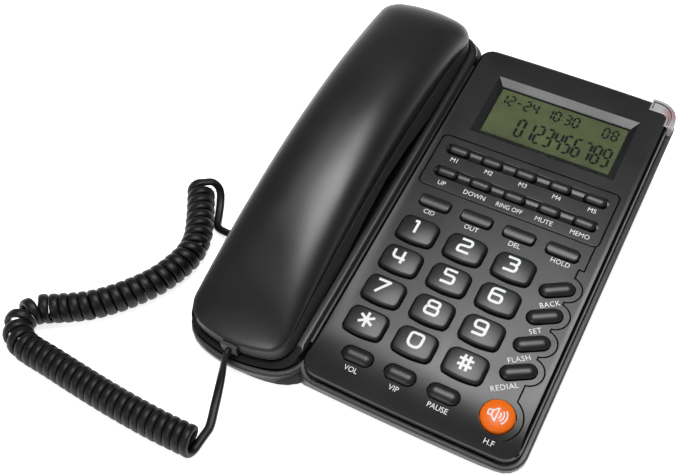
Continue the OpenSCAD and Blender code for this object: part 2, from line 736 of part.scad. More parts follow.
module hook_plunger() color("#2f3033") at_hook() {
    translate([-hook_l / 2, -hook_w / 2, hook_plate - 0.5])
        cube([hook_l, hook_w, hook_top - hook_plate + 0.5]);
    translate([-hook_l / 2 - 2, -hook_w / 2 - 2, hook_plate - hook_plate_t])
        cube([hook_arm + hook_l / 2 + 2 + 3, hook_w + 4, hook_plate_t]);
}

// Spring round its post; it is shorter when the handset lies in the cradle
module hook_spring() color("silver") at_hook() {
    r = (spring_d - spring_wire) / 2;
    run = hook_plate - hook_plate_t - spring_seat - spring_wire - 2 * seat_gap;
    line = [for (q = [0:spring_turns * 10])
        [r * cos(q * 36), r * sin(q * 36), spring_seat + seat_gap + spring_wire / 2 + run * q / (spring_turns * 10)]];
    ends = tangents(line);
    tube(line, [for (c = line) unit([c[0], c[1], 0])], spring_wire / 2, 6, ends[0], ends[len(ends) - 1]);
}

module hook_switch() color("#202124") on_panel()
    translate([switch_u, ear_v, hook_plate - hook_plate_t - seat_gap]) {
        translate([-switch_l / 2, -switch_w / 2, -switch_h]) cube([switch_l, switch_w, switch_h - 1]);
        translate([-1.5, -1.5, -1.2]) cube([3, 3, 1.2]);
    }

module line_jack() color("#1d1e20") difference() {
    line_block(0);
    translate([line_x - line_w / 2, line_y - line_depth, line_z - line_h / 2]) cube([line_w, line_depth + 1, line_h]);
    // Notch of the plug's latch
    translate([line_x - 2, line_y - 7, line_z + line_h / 2 - 0.5]) cube([4, 8, 1.3]);
}

module base_jack() color("#1d1e20") difference() {
    cord_jack_block(0);
    translate([cord_jack_x - 1, cord_jack_y - cord_jack_w / 2, cord_jack_z - cord_jack_h / 2])
        cube([cord_jack_depth + 1, cord_jack_w, cord_jack_h]);
}

FEET = [[12, 20], [panel_w - 22, 20], [panel_w - 22, panel_l - 40], [left_u + 20, 20], [left_u + 20, panel_l - 40]];
module rubber_feet() color("#18181a") for (f = FEET)
    translate([table_x(f[0]), table_y(f[1], 0), 0]) cylinder(d = foot_d, h = foot_h);

module housing_screws() color("silver") at_screws() {
    translate([0, 0, $split - 3 - screw_head_h]) cylinder(d = screw_head_d, h = screw_head_h);
    translate([0, 0, $split - 3.5]) cylinder(d = screw_d, h = 7.5);
}

// Handset

part_end = 4.5;
part_mid = 16;
crown_shift = 13;
dome_power = 2.5;
grip_share = 0.57;
function crown(y) = crown_h - crown_drop * pow((y - crown_shift) / half_l, 2);
function parting(y) = part_mid - (part_mid - part_end) * pow(y / half_l, 2);
function under(y) = let (t = min(1, abs(y) / (grip_share * half_l)))
    handset_foot + grip_rise * pow(1 - t * t, 2);
function dome_rise(k) = pow(1 - pow(1 - k, dome_power), 1 / dome_power);
// The dome's rings narrow to a ridge that ends as far from the handset's ends as from its sides
ridge_share = handset_w / handset_l;
// A ring of the dome: share k of the way in from an edge that is drawn in by t
function dome_ring(k, t) =
    [for (p = handset_ring(t)) let (y = p[1] * (1 - k * ridge_share))
        [p[0] * (1 - k), y, parting(y) + (crown(y) - t - parting(y)) * dome_rise(k)]];
function wall_ring(k, share, t) =
    [for (p = handset_ring(k)) [p[0], p[1], parting(p[1]) * (1 - share) + (under(p[1]) + t) * share]];

HANDSET_SCREWS = [-handset_l / 2 + 52, handset_l / 2 - 60];
handset_split = 9;

module handset_back() color("#1c1d1f") at_handset() difference() {
    union() {
        shell([for (k = [0, 0.012, 0.05, 0.12, 0.22, 0.36, 0.54, 0.74, 0.93]) dome_ring(k, 0)],
              [for (k = [0, 0.03, 0.14, 0.4, 0.9]) dome_ring(k, shell_t)]);
        for (y = HANDSET_SCREWS) translate([0, y, handset_split])
            cylinder(d = 7, h = crown(y) - shell_t / 2 - handset_split);
    }
    for (y = HANDSET_SCREWS) translate([0, y, handset_split - 1]) cylinder(d = screw_d + 2 * screw_gap, h = 8);
}

// Cord socket in the handset's front end
plug_w = 7.6;
plug_h = 6.1;
plug_l = 11.5;
plug_out = 2;
base_plug_out = 4;
socket_n = 0.3;
socket_y = -half_l;

module handset_front() color("#303134") at_handset() difference() {
    union() {
        shell([wall_ring(0, 0, 0), wall_ring(0, 0.9, 0), wall_ring(1.2, 1, 0)],
              [wall_ring(shell_t, 0, 0), wall_ring(shell_t, 1, shell_t)], true);
        translate([0, ear_v - handset_v, handset_foot - ear_drop]) cylinder(d = ear_d, h = ear_drop + shell_t);
        translate([0, mouth_v - handset_v, handset_foot - mouth_drop]) cylinder(d = mouth_d, h = mouth_drop + shell_t);
        for (y = HANDSET_SCREWS) translate([0, y, under(y) + 0.5]) cylinder(d = 9, h = handset_split - under(y) - 0.5);
        // Block round the cord socket
        translate([-plug_w / 2 - 2, socket_y + 1, handset_foot + 0.5]) cube([plug_w + 4, plug_l + 1, 7.4]);
    }
    translate([0, ear_v - handset_v, handset_foot - ear_drop + shell_t]) cylinder(d = ear_d - 2 * shell_t, h = 30);
    translate([0, mouth_v - handset_v, handset_foot - mouth_drop + shell_t]) cylinder(d = mouth_d - 2 * shell_t, h = 30);
    // Sound holes
    translate([0, ear_v - handset_v, -30]) {
        cylinder(d = 2.4, h = 40);
        for (a = [0:60:300]) rotate(a) translate([6, 0, 0]) cylinder(d = 2.4, h = 40);
    }
    translate([0, mouth_v - handset_v, -30]) for (x = [-3, 0, 3]) translate([x, 0, 0]) cylinder(d = 1.6, h = 40);
    for (y = HANDSET_SCREWS) translate([0, y, -30]) {
        cylinder(d = screw_d + 2 * screw_gap, h = 60);
        cylinder(d = screw_head_d + 0.6, h = 30 + handset_split - 3);
    }
    translate([-plug_w / 2 - jack_gap, socket_y - 2, socket_n - plug_h / 2 - jack_gap])
        cube([plug_w + 2 * jack_gap, plug_l - plug_out + 2 + jack_gap, plug_h + 2 * jack_gap]);
}

module handset_screws() color("silver") at_handset() for (y = HANDSET_SCREWS) translate([0, y, handset_split - 3]) {
    translate([0, 0, -screw_head_h]) cylinder(d = screw_head_d, h = screw_head_h);
    translate([0, 0, -0.5]) cylinder(d = screw_d, h = 8);
}

receiver_h = 8;
module receiver() color("#4a4d50") at_handset()
    translate([0, ear_v - handset_v, handset_foot - ear_drop + shell_t]) rotate_extrude()
        polygon([[0, 0], [ear_d / 2 - shell_t - seat_gap, 0], [ear_d / 2 - shell_t - seat_gap, 4],
                 [9, receiver_h - 1.5], [9, receiver_h], [0, receiver_h]]);

module microphone() color("#7a7d80") at_handset()
    translate([0, mouth_v - handset_v, handset_foot - mouth_drop + shell_t]) {
        cylinder(d = 9.7, h = 6.5);
        cylinder(d = mouth_d - 2 * shell_t - 2 * seat_gap, h = 1);
    }

// Cord

// Points of the two free stretches and of the middle of the curls: u, distance behind the
// panel's front edge along the table, and height
function on_desk(p) = [table_x(p[0]), origin_y + p[1], p[2]];
cord_gap = 0.05;
cord_r = cord_d / 2;
curl_r = coil_d / 2 - cord_r;
coil_z = coil_d / 2;
COIL = [[-21, -45], [-38, -45.2], [-58, -44.4], [-78, -42.8], [-96, -41], [-108, -40], [-115, -38],
        [-120, -33.5], [-121.5, -27.5], [-118.5, -21.5], [-112.5, -17.5], [-105.5, -13], [-98, -7],
        [-89.5, 3], [-82, 15.5], [-78.2, 27], [-77, 37.5], [-79, 47], [-83.5, 56], [-88.5, 64.5],
        [-94.5, 74]];
plug_end = on_table([handset_u, handset_v - half_l - plug_out - cord_gap, socket_n]);
plug_run = on_table([handset_u, handset_v - half_l - plug_out - cord_d, socket_n]);
coil_start = on_desk([COIL[0][0], COIL[0][1], cord_r]);
HANDSET_LEAD = concat([plug_end, plug_run],
    [for (p = [[-28.6, -10, 8.5], [-26, -18, 5], [-23.5, -26, 2.6], [-21, -33, cord_r]]) on_desk(p)],
    [coil_start + [0, 2 * cord_d + 2, 0], coil_start + [0, cord_d + cord_gap, 0]]);

function spline_at(p0, p1, p2, p3, t) = 0.5 * (2 * p1 + (p2 - p0) * t
    + (2 * p0 - 5 * p1 + 4 * p2 - p3) * t * t + (3 * p1 - p0 - 3 * p2 + p3) * t * t * t);
// Smooth curve through points, with a number of steps from each point to the next
function spline(p, steps) = let (m = len(p)) concat(
    [for (i = [0:m - 2]) for (s = [0:steps - 1])
        spline_at(i > 0 ? p[i - 1] : 2 * p[0] - p[1], p[i], p[i + 1],
                  i < m - 2 ? p[i + 2] : 2 * p[m - 1] - p[m - 2], s / steps)], [p[m - 1]]);
function unit(a) = a / norm(a);
function sums(a, i = 0, t = 0) = i == len(a) ? [t] : concat([t], sums(a, i + 1, t + a[i]));
function tangents(p) = let (m = len(p)) [for (i = [0:m - 1]) unit(p[min(i + 1, m - 1)] - p[max(i - 1, 0)])];

// Round tube through ring centres; each ring's reference direction is given, and the
// directions of the two ends
module tube(centres, ups, r, sides, first, last) {
    m = len(centres);
    mids = tangents(centres);
    t = [for (i = [0:m - 1]) i == 0 ? first : i == m - 1 ? last : mids[i]];
    points = [for (i = [0:m - 1])
        let (b = unit(cross(t[i], ups[i])), a = cross(b, t[i]))
        for (j = [0:sides - 1]) centres[i] + r * (cos(j * 360 / sides) * a + sin(j * 360 / sides) * b)];
    top = (m - 1) * sides;
    polyhedron(points, concat(side_faces(m, sides),
        [for (j = [1:sides - 2]) [0, j, j + 1]],
        [for (j = [1:sides - 2]) [top, top + j + 1, top + j]]), convexity = 10);
}

// Curls along the middle line: the pitch widens where the line bends, so that the gap
// on the inside of a bend stays the same, and towards the slack end at the base.
// LOOSE is how many times wider it is, at shares of the line's length
LOOSE = [[0, 1], [0.45, 1], [0.6, 1.1], [0.8, 1.12], [1, 1.3]];
coil_line = spline([for (p = COIL) [table_x(p[0]), origin_y + p[1]]], 8);
coil_steps = [for (i = [0:len(coil_line) - 2]) norm(coil_line[i + 1] - coil_line[i])];
coil_s = sums(coil_steps);
coil_t = tangents(coil_line);
function bend(i) = let (a = coil_t[max(i - 1, 0)], b = coil_t[min(i + 1, len(coil_t) - 1)])
    abs(a[0] * b[1] - a[1] * b[0]) / (2 * coil_steps[min(i, len(coil_steps) - 1)]);
coil_l = coil_s[len(coil_s) - 1];
curl_rate = [for (i = [0:len(coil_steps) - 1])
    coil_steps[i] * 360 * (1 - curl_r * min(bend(i), 0.13))
        / ((cord_d + curl_gap) * lookup(coil_s[i] / coil_l, LOOSE))];
raw_turn = sums(curl_rate);
curls = floor(raw_turn[len(raw_turn) - 1] / 360) + 0.5;
turn_at = [for (i = [0:len(raw_turn) - 1]) [raw_turn[i] * curls * 360 / raw_turn[len(raw_turn) - 1], i]];
curl_rings = 8;
function mix_at(list, x) = let (i = min(floor(x), len(list) - 2)) list[i] + (list[i + 1] - list[i]) * (x - i);
function curl_out(g, t) = cos(-90 - g) * [t[1], -t[0], 0] + sin(-90 - g) * [0, 0, 1];
curl_line = [for (q = [0:curls * curl_rings]) let (g = q * 360 / curl_rings, x = lookup(g, turn_at),
    c = mix_at(coil_line, x), t = unit(mix_at(coil_t, x))) [[c[0], c[1], coil_z], curl_out(g, t)]];
curl_mid = [for (c = curl_line) c[0] + curl_r * c[1]];
curl_last = len(curl_line) - 1;
coil_end = curl_mid[curl_last];
leave_dir = unit([coil_t[len(coil_t) - 1][1], -coil_t[len(coil_t) - 1][0], 0]);
base_start = coil_end + cord_d * leave_dir;
CURLY = concat([coil_start + [0, cord_d, 0]], curl_mid, [base_start]);
CURLY_UP = concat([[0, 0, 1]], [for (c = curl_line) c[1]], [[0, 0, 1]]);
self_gap = min([for (i = [0:curl_last]) for (j = [i + 5:min(i + 12, curl_last)])
    norm(curl_mid[i] - curl_mid[j])]) - cord_d;
echo(curls = curls, least_gap_of_the_curly_cord = self_gap);

base_tail = [cord_jack_x - base_plug_out - cord_gap, cord_jack_y, cord_jack_z];
BASE_LEAD = concat([base_start + cord_gap * leave_dir, base_start + (cord_d + cord_gap) * leave_dir],
    [for (p = [[-85.6, 77.9, 8.5], [-83, 73, 3.6], [-79, 64, cord_r], [-75.5, 59.5, 2.4]]) on_desk(p)],
    [base_tail - [cord_d, 0, 0], base_tail]);
into_coil = [0, -1, 0];
out_of_plug = unit(plug_run - plug_end);

module handset_lead() color("#1b1c1e") let (p = spline(HANDSET_LEAD, 2))
    tube(p, [for (c = p) [1, 0, 0]], cord_r, 8, out_of_plug, into_coil);
module base_lead() color("#1b1c1e") let (p = spline(BASE_LEAD, 2))
    tube(p, [for (c = p) [0, 0, 1]], cord_r, 8, leave_dir, [1, 0, 0]);
module curly_cord() color("#1b1c1e") tube(CURLY, CURLY_UP, cord_r, 6, into_coil, leave_dir);

module plug() {
    translate([-plug_w / 2, -plug_l, -plug_h / 2]) cube([plug_w, plug_l, plug_h]);
}

module handset_plug() color([0.85, 0.85, 0.85, 0.6]) at_handset()
    translate([0, socket_y - plug_out + plug_l, socket_n]) plug();
module base_plug() color([0.85, 0.85, 0.85, 0.6])
    translate([cord_jack_x - base_plug_out + plug_l, cord_jack_y, cord_jack_z]) rotate([0, 0, -90]) plug();

lower_housing();
top_cover();
display_lens();
lcd_panel();
lamp_lens();
ring_lamp();
main_board();
key_mat();
loudspeaker();
hook_plunger();
hook_spring();
hook_switch();
line_jack();
base_jack();
rubber_feet();
housing_screws();
handset_back();
handset_front();
receiver();
microphone();
handset_screws();
handset_plug();
handset_lead();
curly_cord();
base_lead();
base_plug();
for (k = KEYS) key(k[1], k[2], k[3], k[4]);
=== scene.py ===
"""Looks of a corded desk telephone with large keys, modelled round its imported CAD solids.

The tables hold millimetres on the sloping key panel: u runs to the right, v up the slope and n out
of the panel, from its front left corner. In Blender every length is in metres."""
import json
import math
from functools import partial

import bmesh
import bpy
from mathutils import Matrix, Vector

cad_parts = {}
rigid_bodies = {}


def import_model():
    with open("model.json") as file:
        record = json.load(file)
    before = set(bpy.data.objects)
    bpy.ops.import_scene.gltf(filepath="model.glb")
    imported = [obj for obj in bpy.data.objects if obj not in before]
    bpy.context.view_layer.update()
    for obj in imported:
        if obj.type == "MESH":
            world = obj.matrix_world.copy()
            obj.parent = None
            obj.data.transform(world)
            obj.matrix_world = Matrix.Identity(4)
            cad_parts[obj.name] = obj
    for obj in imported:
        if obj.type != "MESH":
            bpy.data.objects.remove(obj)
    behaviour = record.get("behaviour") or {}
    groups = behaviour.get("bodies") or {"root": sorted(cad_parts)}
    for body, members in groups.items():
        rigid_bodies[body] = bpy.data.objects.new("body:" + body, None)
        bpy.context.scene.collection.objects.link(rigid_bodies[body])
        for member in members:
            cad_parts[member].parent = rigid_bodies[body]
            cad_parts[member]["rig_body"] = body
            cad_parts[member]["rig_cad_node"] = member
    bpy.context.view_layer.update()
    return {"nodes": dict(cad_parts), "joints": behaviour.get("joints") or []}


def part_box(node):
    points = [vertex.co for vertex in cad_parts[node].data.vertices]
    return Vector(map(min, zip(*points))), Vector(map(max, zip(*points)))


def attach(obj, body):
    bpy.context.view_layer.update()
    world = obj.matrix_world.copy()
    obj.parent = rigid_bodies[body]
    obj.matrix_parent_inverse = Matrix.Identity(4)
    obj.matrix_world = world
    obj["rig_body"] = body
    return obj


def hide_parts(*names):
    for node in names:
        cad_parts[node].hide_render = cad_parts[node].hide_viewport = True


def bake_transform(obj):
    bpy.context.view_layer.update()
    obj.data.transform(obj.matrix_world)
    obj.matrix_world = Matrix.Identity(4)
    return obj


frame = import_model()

bl_info = {
    "name": "Desk telephone",
    "version": (1, 0, 0),
    "blender": (4, 5, 0),
    "location": "View3D > Sidebar > Telephone",
    "description": "Models the looks of a corded desk telephone round its packed solids",
    "category": "Object",
}

MM = 0.001
NODES = frame["nodes"]
LIFT = Vector(next(j["axis"] for j in frame["joints"] if j["name"] == "handset_lift"))
TILT = math.atan2(-LIFT.y, LIFT.z)
# Front left corner of the panel's face, where u, v and n start
CORNER = Vector((-0.02215, -0.10027, 0.0134))
PANEL = Matrix.Translation(CORNER) @ Matrix.Rotation(TILT, 4, "X")
# The way out of the panel's face
FACE = Vector((0, -math.sin(TILT), math.cos(TILT)))
# Where the panel's face starts to roll down to its front edge, and the radius of that roll
ROLL_V, ROLL_R = 21.0, 125.0
# The face's shading leans over a little earlier and further than the face
SHADE_V, SHADE_R = 35.0, 80.0
# Points closer than this are joined
MERGE = 0.000002

NUMBERS = {"key_" + {"*": "star", "#": "hash"}.get(mark, mark): mark for mark in "123456789*0#"}
PILLS, CALLERS, SIDES, VOLUMES = (["key_" + name for name in row.split()] for row in (
    "m1 m2 m3 m4 m5 up down ring_off mute memo", "cid out del hold", "back set flash redial",
    "vol vip pause"))

# Words on the panel: text, middle u, middle v, turn in degrees
WORDS = [("M1", 15.8, 127.3, 0), ("M2", 33.2, 127.3, 0), ("M3", 50.0, 127.3, 0), ("M4", 66.4, 127.3, 0),
         ("M5", 83.2, 127.3, 0),
         ("UP", 16.0, 113.1, 0), ("DOWN", 32.3, 113.1, 0), ("RING OFF", 49.3, 113.1, 0),
         ("MUTE", 65.9, 113.1, 0), ("MEMO", 82.8, 113.1, 0),
         ("CID", 17.6, 96.0, 0), ("OUT", 38.4, 96.0, 0), ("DEL", 59.1, 96.0, 0), ("HOLD", 80.4, 96.0, 0),
         ("BACK", 84.0, 75.0, 34), ("SET", 83.2, 60.6, 34), ("FLASH", 82.1, 45.7, 34),
         ("REDIAL", 81.6, 31.6, 34),
         ("VOL", 21.3, 11.6, 0), ("VIP", 41.1, 11.6, 0), ("PAUSE", 60.9, 11.6, 0), ("H.F", 85.3, 7.3, 0)]

# Strokes of the large figures in a box from -1 to 1: corner points, and the radius of each bend
FIGURES = {
    "1": [([(-0.42, 0.86), (0.14, 1), (0.14, -1)], 0.25)],
    "2": [([(-0.8, 1), (0.85, 1), (0.85, 0.06), (-0.85, -0.06), (-0.85, -1)], 0.42),
          ([(-0.85, -1), (0.9, -1)], 0)],
    "3": [([(-0.85, 1), (0.85, 1), (0.85, 0.04), (-0.3, 0.04)], 0.45),
          ([(-0.3, 0.04), (0.85, 0.04), (0.85, -1), (-0.95, -1)], 0.48)],
    "4": [([(-0.95, 1), (-0.95, -0.3), (0.92, -0.3)], 0.6), ([(0.5, 1), (0.5, -1)], 0)],
    "5": [([(0.9, 1), (-0.75, 1), (-0.75, 0.16)], 0),
          ([(-0.75, 0.16), (0.85, 0.16), (0.85, -1), (-0.95, -1)], 0.45)],
    "6": [([(0.88, 1), (-0.85, 1), (-0.85, -1), (0.85, -1), (0.85, 0.12), (-0.85, 0.12)], 0.5)],
    "7": [([(-1, 1), (0.8, 1), (-0.75, -1)], 0.05)],
    "8": [([(0, 1), (0.78, 1), (0.78, 0.08), (-0.78, 0.08), (-0.78, 1), (0, 1)], 0.44),
          ([(0, 0.08), (0.92, 0.08), (0.92, -1), (-0.92, -1), (-0.92, 0.08), (0, 0.08)], 0.5)],
    "9": [([(0.85, -0.12), (-0.85, -0.12), (-0.85, 1), (0.85, 1), (0.85, -1), (-0.88, -1)], 0.5)],
    "0": [([(0, 1), (0.92, 1), (0.92, -1), (-0.92, -1), (-0.92, 1), (0, 1)], 0.9)],
    "*": [([(0, 1.1), (0, -1.2)], 0), ([(1.02, 0.58), (-1.02, -0.65)], 0),
          ([(1.02, -0.65), (-1.02, 0.58)], 0)],
    "#": [([(-0.36, 1), (-0.36, -1.25)], 0), ([(0.38, 1), (0.38, -1.25)], 0),
          ([(-1.02, 0.32), (1.02, 0.32)], 0), ([(-1.02, -0.55), (1.02, -0.55)], 0)],
}
# How far beside its key's middle a figure stands
FIGURE_U = {"1": -1.2, "4": -1.0, "7": -0.9, "2": -0.2, "5": -0.2, "8": -0.1,
            "3": -1.2, "6": -1.0, "9": -1.1}
# Lit bars of a seven bar figure: top, upper right, lower right, bottom, lower left, upper left, middle
BARS = {"0": "abcdef", "1": "bc", "2": "abged", "3": "abgcd", "4": "fgbc", "5": "afgcd", "6": "afgedc",
        "7": "abc", "8": "abcdefg", "9": "abcfgd", "-": "g"}

# Route of the cord: u, distance along the table behind the panel's front edge, and height
HANDSET_RUN = [(-28.6, -10, 8.5), (-26, -18, 5), (-23.5, -26, 2.6), (-21, -33, 1.4)]
COIL_RUN = [(-21, -45), (-38, -45.2), (-58, -44.4), (-78, -42.8), (-96, -41), (-108, -40), (-115, -38),
            (-120, -33.5), (-121.5, -27.5), (-118.5, -21.5), (-112.5, -17.5), (-105.5, -13), (-98, -7),
            (-89.5, 3), (-82, 15.5), (-78.2, 27), (-77, 37.5), (-79, 47), (-83.5, 56), (-88.5, 64.5),
            (-94.5, 74)]
# How many times wider the curls lie, at shares of that run
LOOSE = [(0, 1), (0.45, 1), (0.6, 1.1), (0.8, 1.12), (1, 1.3)]
BASE_RUN = [(-85.6, 77.9, 8.5), (-83, 73, 3.6), (-79, 64, 1.6), (-75.5, 59.5, 2.4)]


def length(name, about, default, low, high):
    return bpy.props.FloatProperty(
        name=name, description=about, default=default, min=low, max=high, precision=6, unit="LENGTH")


def colour(name, about, *rgb):
    return bpy.props.FloatVectorProperty(
        name=name, description=about, subtype="COLOR", size=3, min=0, max=1, default=rgb)


class TelephoneSizes(bpy.types.PropertyGroup):
    """Sizes that a user would change"""
    rim: length("Rim rounding", "Rounding of the rims of the panel's openings", 0.00025, 0, 0.0005)
    cap_edge: length("Key edge", "Rounding round the top of the number keys", 0.0011, 0.0002, 0.002)
    figure_h: length("Figure height", "Height of the figures on the number keys", 0.0077, 0.004, 0.009)
    figure_w: length("Figure width", "Width of the figures on the number keys", 0.0075, 0.004, 0.012)
    stroke: length("Stroke", "Width of the strokes of the figures", 0.00125, 0.0005, 0.002)
    word_h: length("Word height", "Height of the capitals on the panel", 0.0024, 0.0015, 0.004)
    ink: length("Ink", "Thickness of the printed words and figures", 0.00006, 0.00002, 0.0003)
    cord_w: length("Cord width", "Width of the flat cord on its straight runs", 0.0039, 0.002, 0.0045)
    cord_t: length("Cord thickness", "Thickness of the flat cord", 0.0026, 0.0015, 0.0032)
    lcd_h: length("Display figures", "Height of the display's large figures", 0.0104, 0.005, 0.014)


class TelephoneColours(bpy.types.PropertyGroup):
    """Colours that a user would change"""
    cover: colour("Cover", "Key panel and cradle", 0.0085, 0.0087, 0.0093)
    housing: colour("Housing", "Lower housing and its rim", 0.040, 0.0405, 0.0415)
    handset: colour("Handset", "Crown of the handset", 0.0068, 0.0068, 0.0073)
    face: colour("Handset face", "Inner shell of the handset", 0.045, 0.0455, 0.047)
    key: colour("Keys", "Black keys", 0.0075, 0.0075, 0.0082)
    orange: colour("Hands-free key", "Orange key", 0.90, 0.155, 0.002)
    ink: colour("Ink", "Printed words and figures", 0.86, 0.87, 0.88)
    lcd: colour("Display", "Grey green ground of the display", 0.165, 0.190, 0.080)
    bars: colour("Display figures", "Dark bars of the display", 0.005, 0.007, 0.004)
    cord: colour("Cord", "Jacket of the cord", 0.0028, 0.0028, 0.003)
    lamp: colour("Lamp", "Red ring lamp", 0.62, 0.020, 0.030)
    floor: colour("Floor", "Floor and backdrop", 0.90, 0.90, 0.90)


def sizes():
    return bpy.context.scene.telephone_sizes


def colours():
    return bpy.context.scene.telephone_colours


# Materials

def add(tree, kind, inputs=None, **settings):
    """A shader node with its settings; an input is a value, an output, or a node for its first output."""
    made = tree.nodes.new("ShaderNode" + kind)
    for name, value in settings.items():
        setattr(made, name, value)
    for name, value in (inputs or {}).items():
        if isinstance(value, bpy.types.Node):
            value = value.outputs[0]
        if isinstance(value, bpy.types.NodeSocket):
            tree.links.new(value, made.inputs[name])
        else:
            made.inputs[name].default_value = value
    return made


def blank(name):
    made = bpy.data.materials.new(name)
    made.use_nodes = True
    made.node_tree.nodes.clear()
    return made, made.node_tree


def close(tree, shader):
    add(tree, "OutputMaterial", {"Surface": shader})


def patterned(name):
    """A blank material with its nodes, and its piece's own coordinates for the patterns on it."""
    made, tree = blank(name)
    return made, tree, add(tree, "TexCoord").outputs["Object"]


def noise(tree, place, scale, detail, **more):
    inputs = {"Vector": place, "Scale": scale, "Detail": detail, **more}
    return add(tree, "TexNoise", inputs)


def ramp(tree, factor, low, high):
    """A colour that goes from low to high over the middle of the factor's range."""
    made = add(tree, "ValToRGB", {"Fac": factor})
    for stop, place, rgb in zip(made.color_ramp.elements, (0.3, 0.7), (low, high)):
        stop.position = place
        stop.color = (*rgb, 1)
    return made


def moulded(name, rgb, rough, grain, relief, spread=0.12, coat=0.0, strength=0.6, drift=1.0,
            shine=0.5):
    """Moulded plastic: an eroded grain that moves tone and relief, and slow drifts of gloss."""
    made, tree, place = patterned(name)
    fine = noise(tree, place, 1 / grain, 3.0, Roughness=0.62)
    slow = noise(tree, place, 42.0, 2.0)
    tone = ramp(tree, fine, [c * (1 - spread) for c in rgb], [min(1, c * (1 + spread)) for c in rgb])
    gloss = add(tree, "MapRange", {
        "Value": slow, "From Min": 0.3, "From Max": 0.7,
        "To Min": rough - 0.03 * drift, "To Max": rough + 0.04 * drift})
    bump = add(tree, "Bump", {"Height": fine, "Strength": strength, "Distance": relief})
    close(tree, add(tree, "BsdfPrincipled", {
        "Base Color": tone, "Roughness": gloss, "Normal": bump,
        "IOR": 1.5, "Specular IOR Level": shine, "Coat Weight": coat, "Coat Roughness": 0.12}))
    return made


def clear(name, rgb, rough, ripple, through=1.0, tint=None):
    """Clear plastic with a slight ripple from its mould; tint is a colour, its middle and its reach."""
    made, tree, place = patterned(name)
    slow = noise(tree, place, 300.0, 1.0)
    tone = ramp(tree, slow, [c * 0.94 for c in rgb], rgb)
    if tint:
        shade, middle, reach = tint
        away = add(tree, "VectorMath", {0: place, 1: middle}, operation="DISTANCE")
        near = add(tree, "MapRange", {
            "Value": away.outputs["Value"], "From Min": reach / 2, "From Max": reach,
            "To Min": 1.0, "To Max": 0.0})
        tone = add(tree, "Mix", {0: near, 6: tone, 7: (*shade, 1)},
                   data_type="RGBA").outputs[2]
    bump = add(tree, "Bump", {"Height": slow, "Strength": 0.4, "Distance": ripple})
    close(tree, add(tree, "BsdfPrincipled", {
        "Base Color": tone, "Roughness": rough, "Normal": bump,
        "IOR": 1.49, "Transmission Weight": through}))
    return made


def metal(name, rgb, rough, grain):
    """Turned or drawn metal with fine marks."""
    made, tree, place = patterned(name)
    marks = noise(tree, place, 1 / grain, 4.0, Distortion=0.4)
    tone = ramp(tree, marks, [c * 0.8 for c in rgb], rgb)
    gloss = add(tree, "MapRange", {"Value": marks, "To Min": rough - 0.1, "To Max": rough + 0.1})
    bump = add(tree, "Bump", {"Height": marks, "Strength": 0.3, "Distance": 0.00002})
    close(tree, add(tree, "BsdfPrincipled", {
        "Base Color": tone, "Roughness": gloss, "Normal": bump,
        "Metallic": 1.0}))
    return made


def ink(name, rgb):
    """Screen printed ink: a little uneven in tone, matt and slightly raised in specks."""
    return moulded(name, rgb, 0.5, 0.00022, 0.00001, 0.05, strength=0.3)


# Pieces

def pick(*pieces):
    """Leaves only these pieces selected, in object mode, the first one active."""
    if bpy.context.object is not None and bpy.context.object.mode != "OBJECT":
        bpy.ops.object.mode_set(mode="OBJECT")
    bpy.ops.object.select_all(action="DESELECT")
    for piece in pieces:
        piece.select_set(True)
    bpy.context.view_layer.objects.active = pieces[0]


def edit(piece, kind="EDGE"):
    pick(piece)
    bpy.ops.object.mode_set(mode="EDIT")
    bpy.ops.mesh.select_mode(type=kind)


def whole(piece, kind="EDGE"):
    """Opens a piece in edit mode with all of it selected."""
    edit(piece, kind)
    bpy.ops.mesh.select_all(action="SELECT")


def done():
    bpy.ops.object.mode_set(mode="OBJECT")


def named(piece, name):
    piece.name = name
    piece.data.name = name
    return piece


def linked(name, data):
    made = bpy.data.objects.new(name, data)
    bpy.context.scene.collection.objects.link(made)
    return made


def joined(pieces, name):
    pick(*pieces)
    bpy.ops.object.join()
    return named(bpy.context.object, name)


def choose_edges(piece, test):
    """Selects the edges of the piece in edit mode for which test(edge) holds."""
    bpy.ops.mesh.select_all(action="DESELECT")
    mesh = bmesh.from_edit_mesh(piece.data)
    for edge in mesh.edges:
        if len(edge.link_faces) == 2 and test(edge):
            edge.select_set(True)
    bmesh.update_edit_mesh(piece.data)


def middle_of(edge):
    return tuple(round(c, 7) for c in (edge.verts[0].co + edge.verts[1].co) / 2)


def edge_runs(piece, test):
    """The edges for which test(edge) holds, by their middles: one set for each connected run."""
    mesh = bmesh.from_edit_mesh(piece.data)
    mesh.edges.index_update()
    left = {edge.index: edge for edge in mesh.edges if len(edge.link_faces) == 2 and test(edge)}
    runs = []
    while left:
        run, fresh = set(), [left.pop(next(iter(left)))]
        while fresh:
            edge = fresh.pop()
            run.add(middle_of(edge))
            for other in [o for v in edge.verts for o in v.link_edges]:
                if other.index in left:
                    fresh.append(left.pop(other.index))
        runs.append(run)
    return runs


def apply(piece, kind, **settings):
    """Adds one modifier and applies it."""
    pick(piece)
    made = piece.modifiers.new(kind.title(), kind)
    for name, value in settings.items():
        setattr(made, name, value)
    bpy.ops.object.modifier_apply(modifier=made.name)


def smooth(piece, degrees=35, weighted=True):
    pick(piece)
    bpy.ops.object.shade_smooth_by_angle(angle=math.radians(degrees))
    if weighted:
        apply(piece, "WEIGHTED_NORMAL", keep_sharp=True, weight=80)


def settle(piece, place):
    """Puts the piece at a place and moves that into its mesh."""
    pick(piece)
    piece.matrix_world = place
    bpy.ops.object.transform_apply(location=True, rotation=True, scale=True)


def dress(piece, finish):
    piece.data.materials.clear()
    piece.data.materials.append(finish)


def inlay(piece, finishes, choose):
    """Adds finishes to a piece; choose(face) gives the index of a face's finish."""
    for finish in finishes:
        piece.data.materials.append(finish)
    for part in piece.data.polygons:
        part.material_index = choose(part)


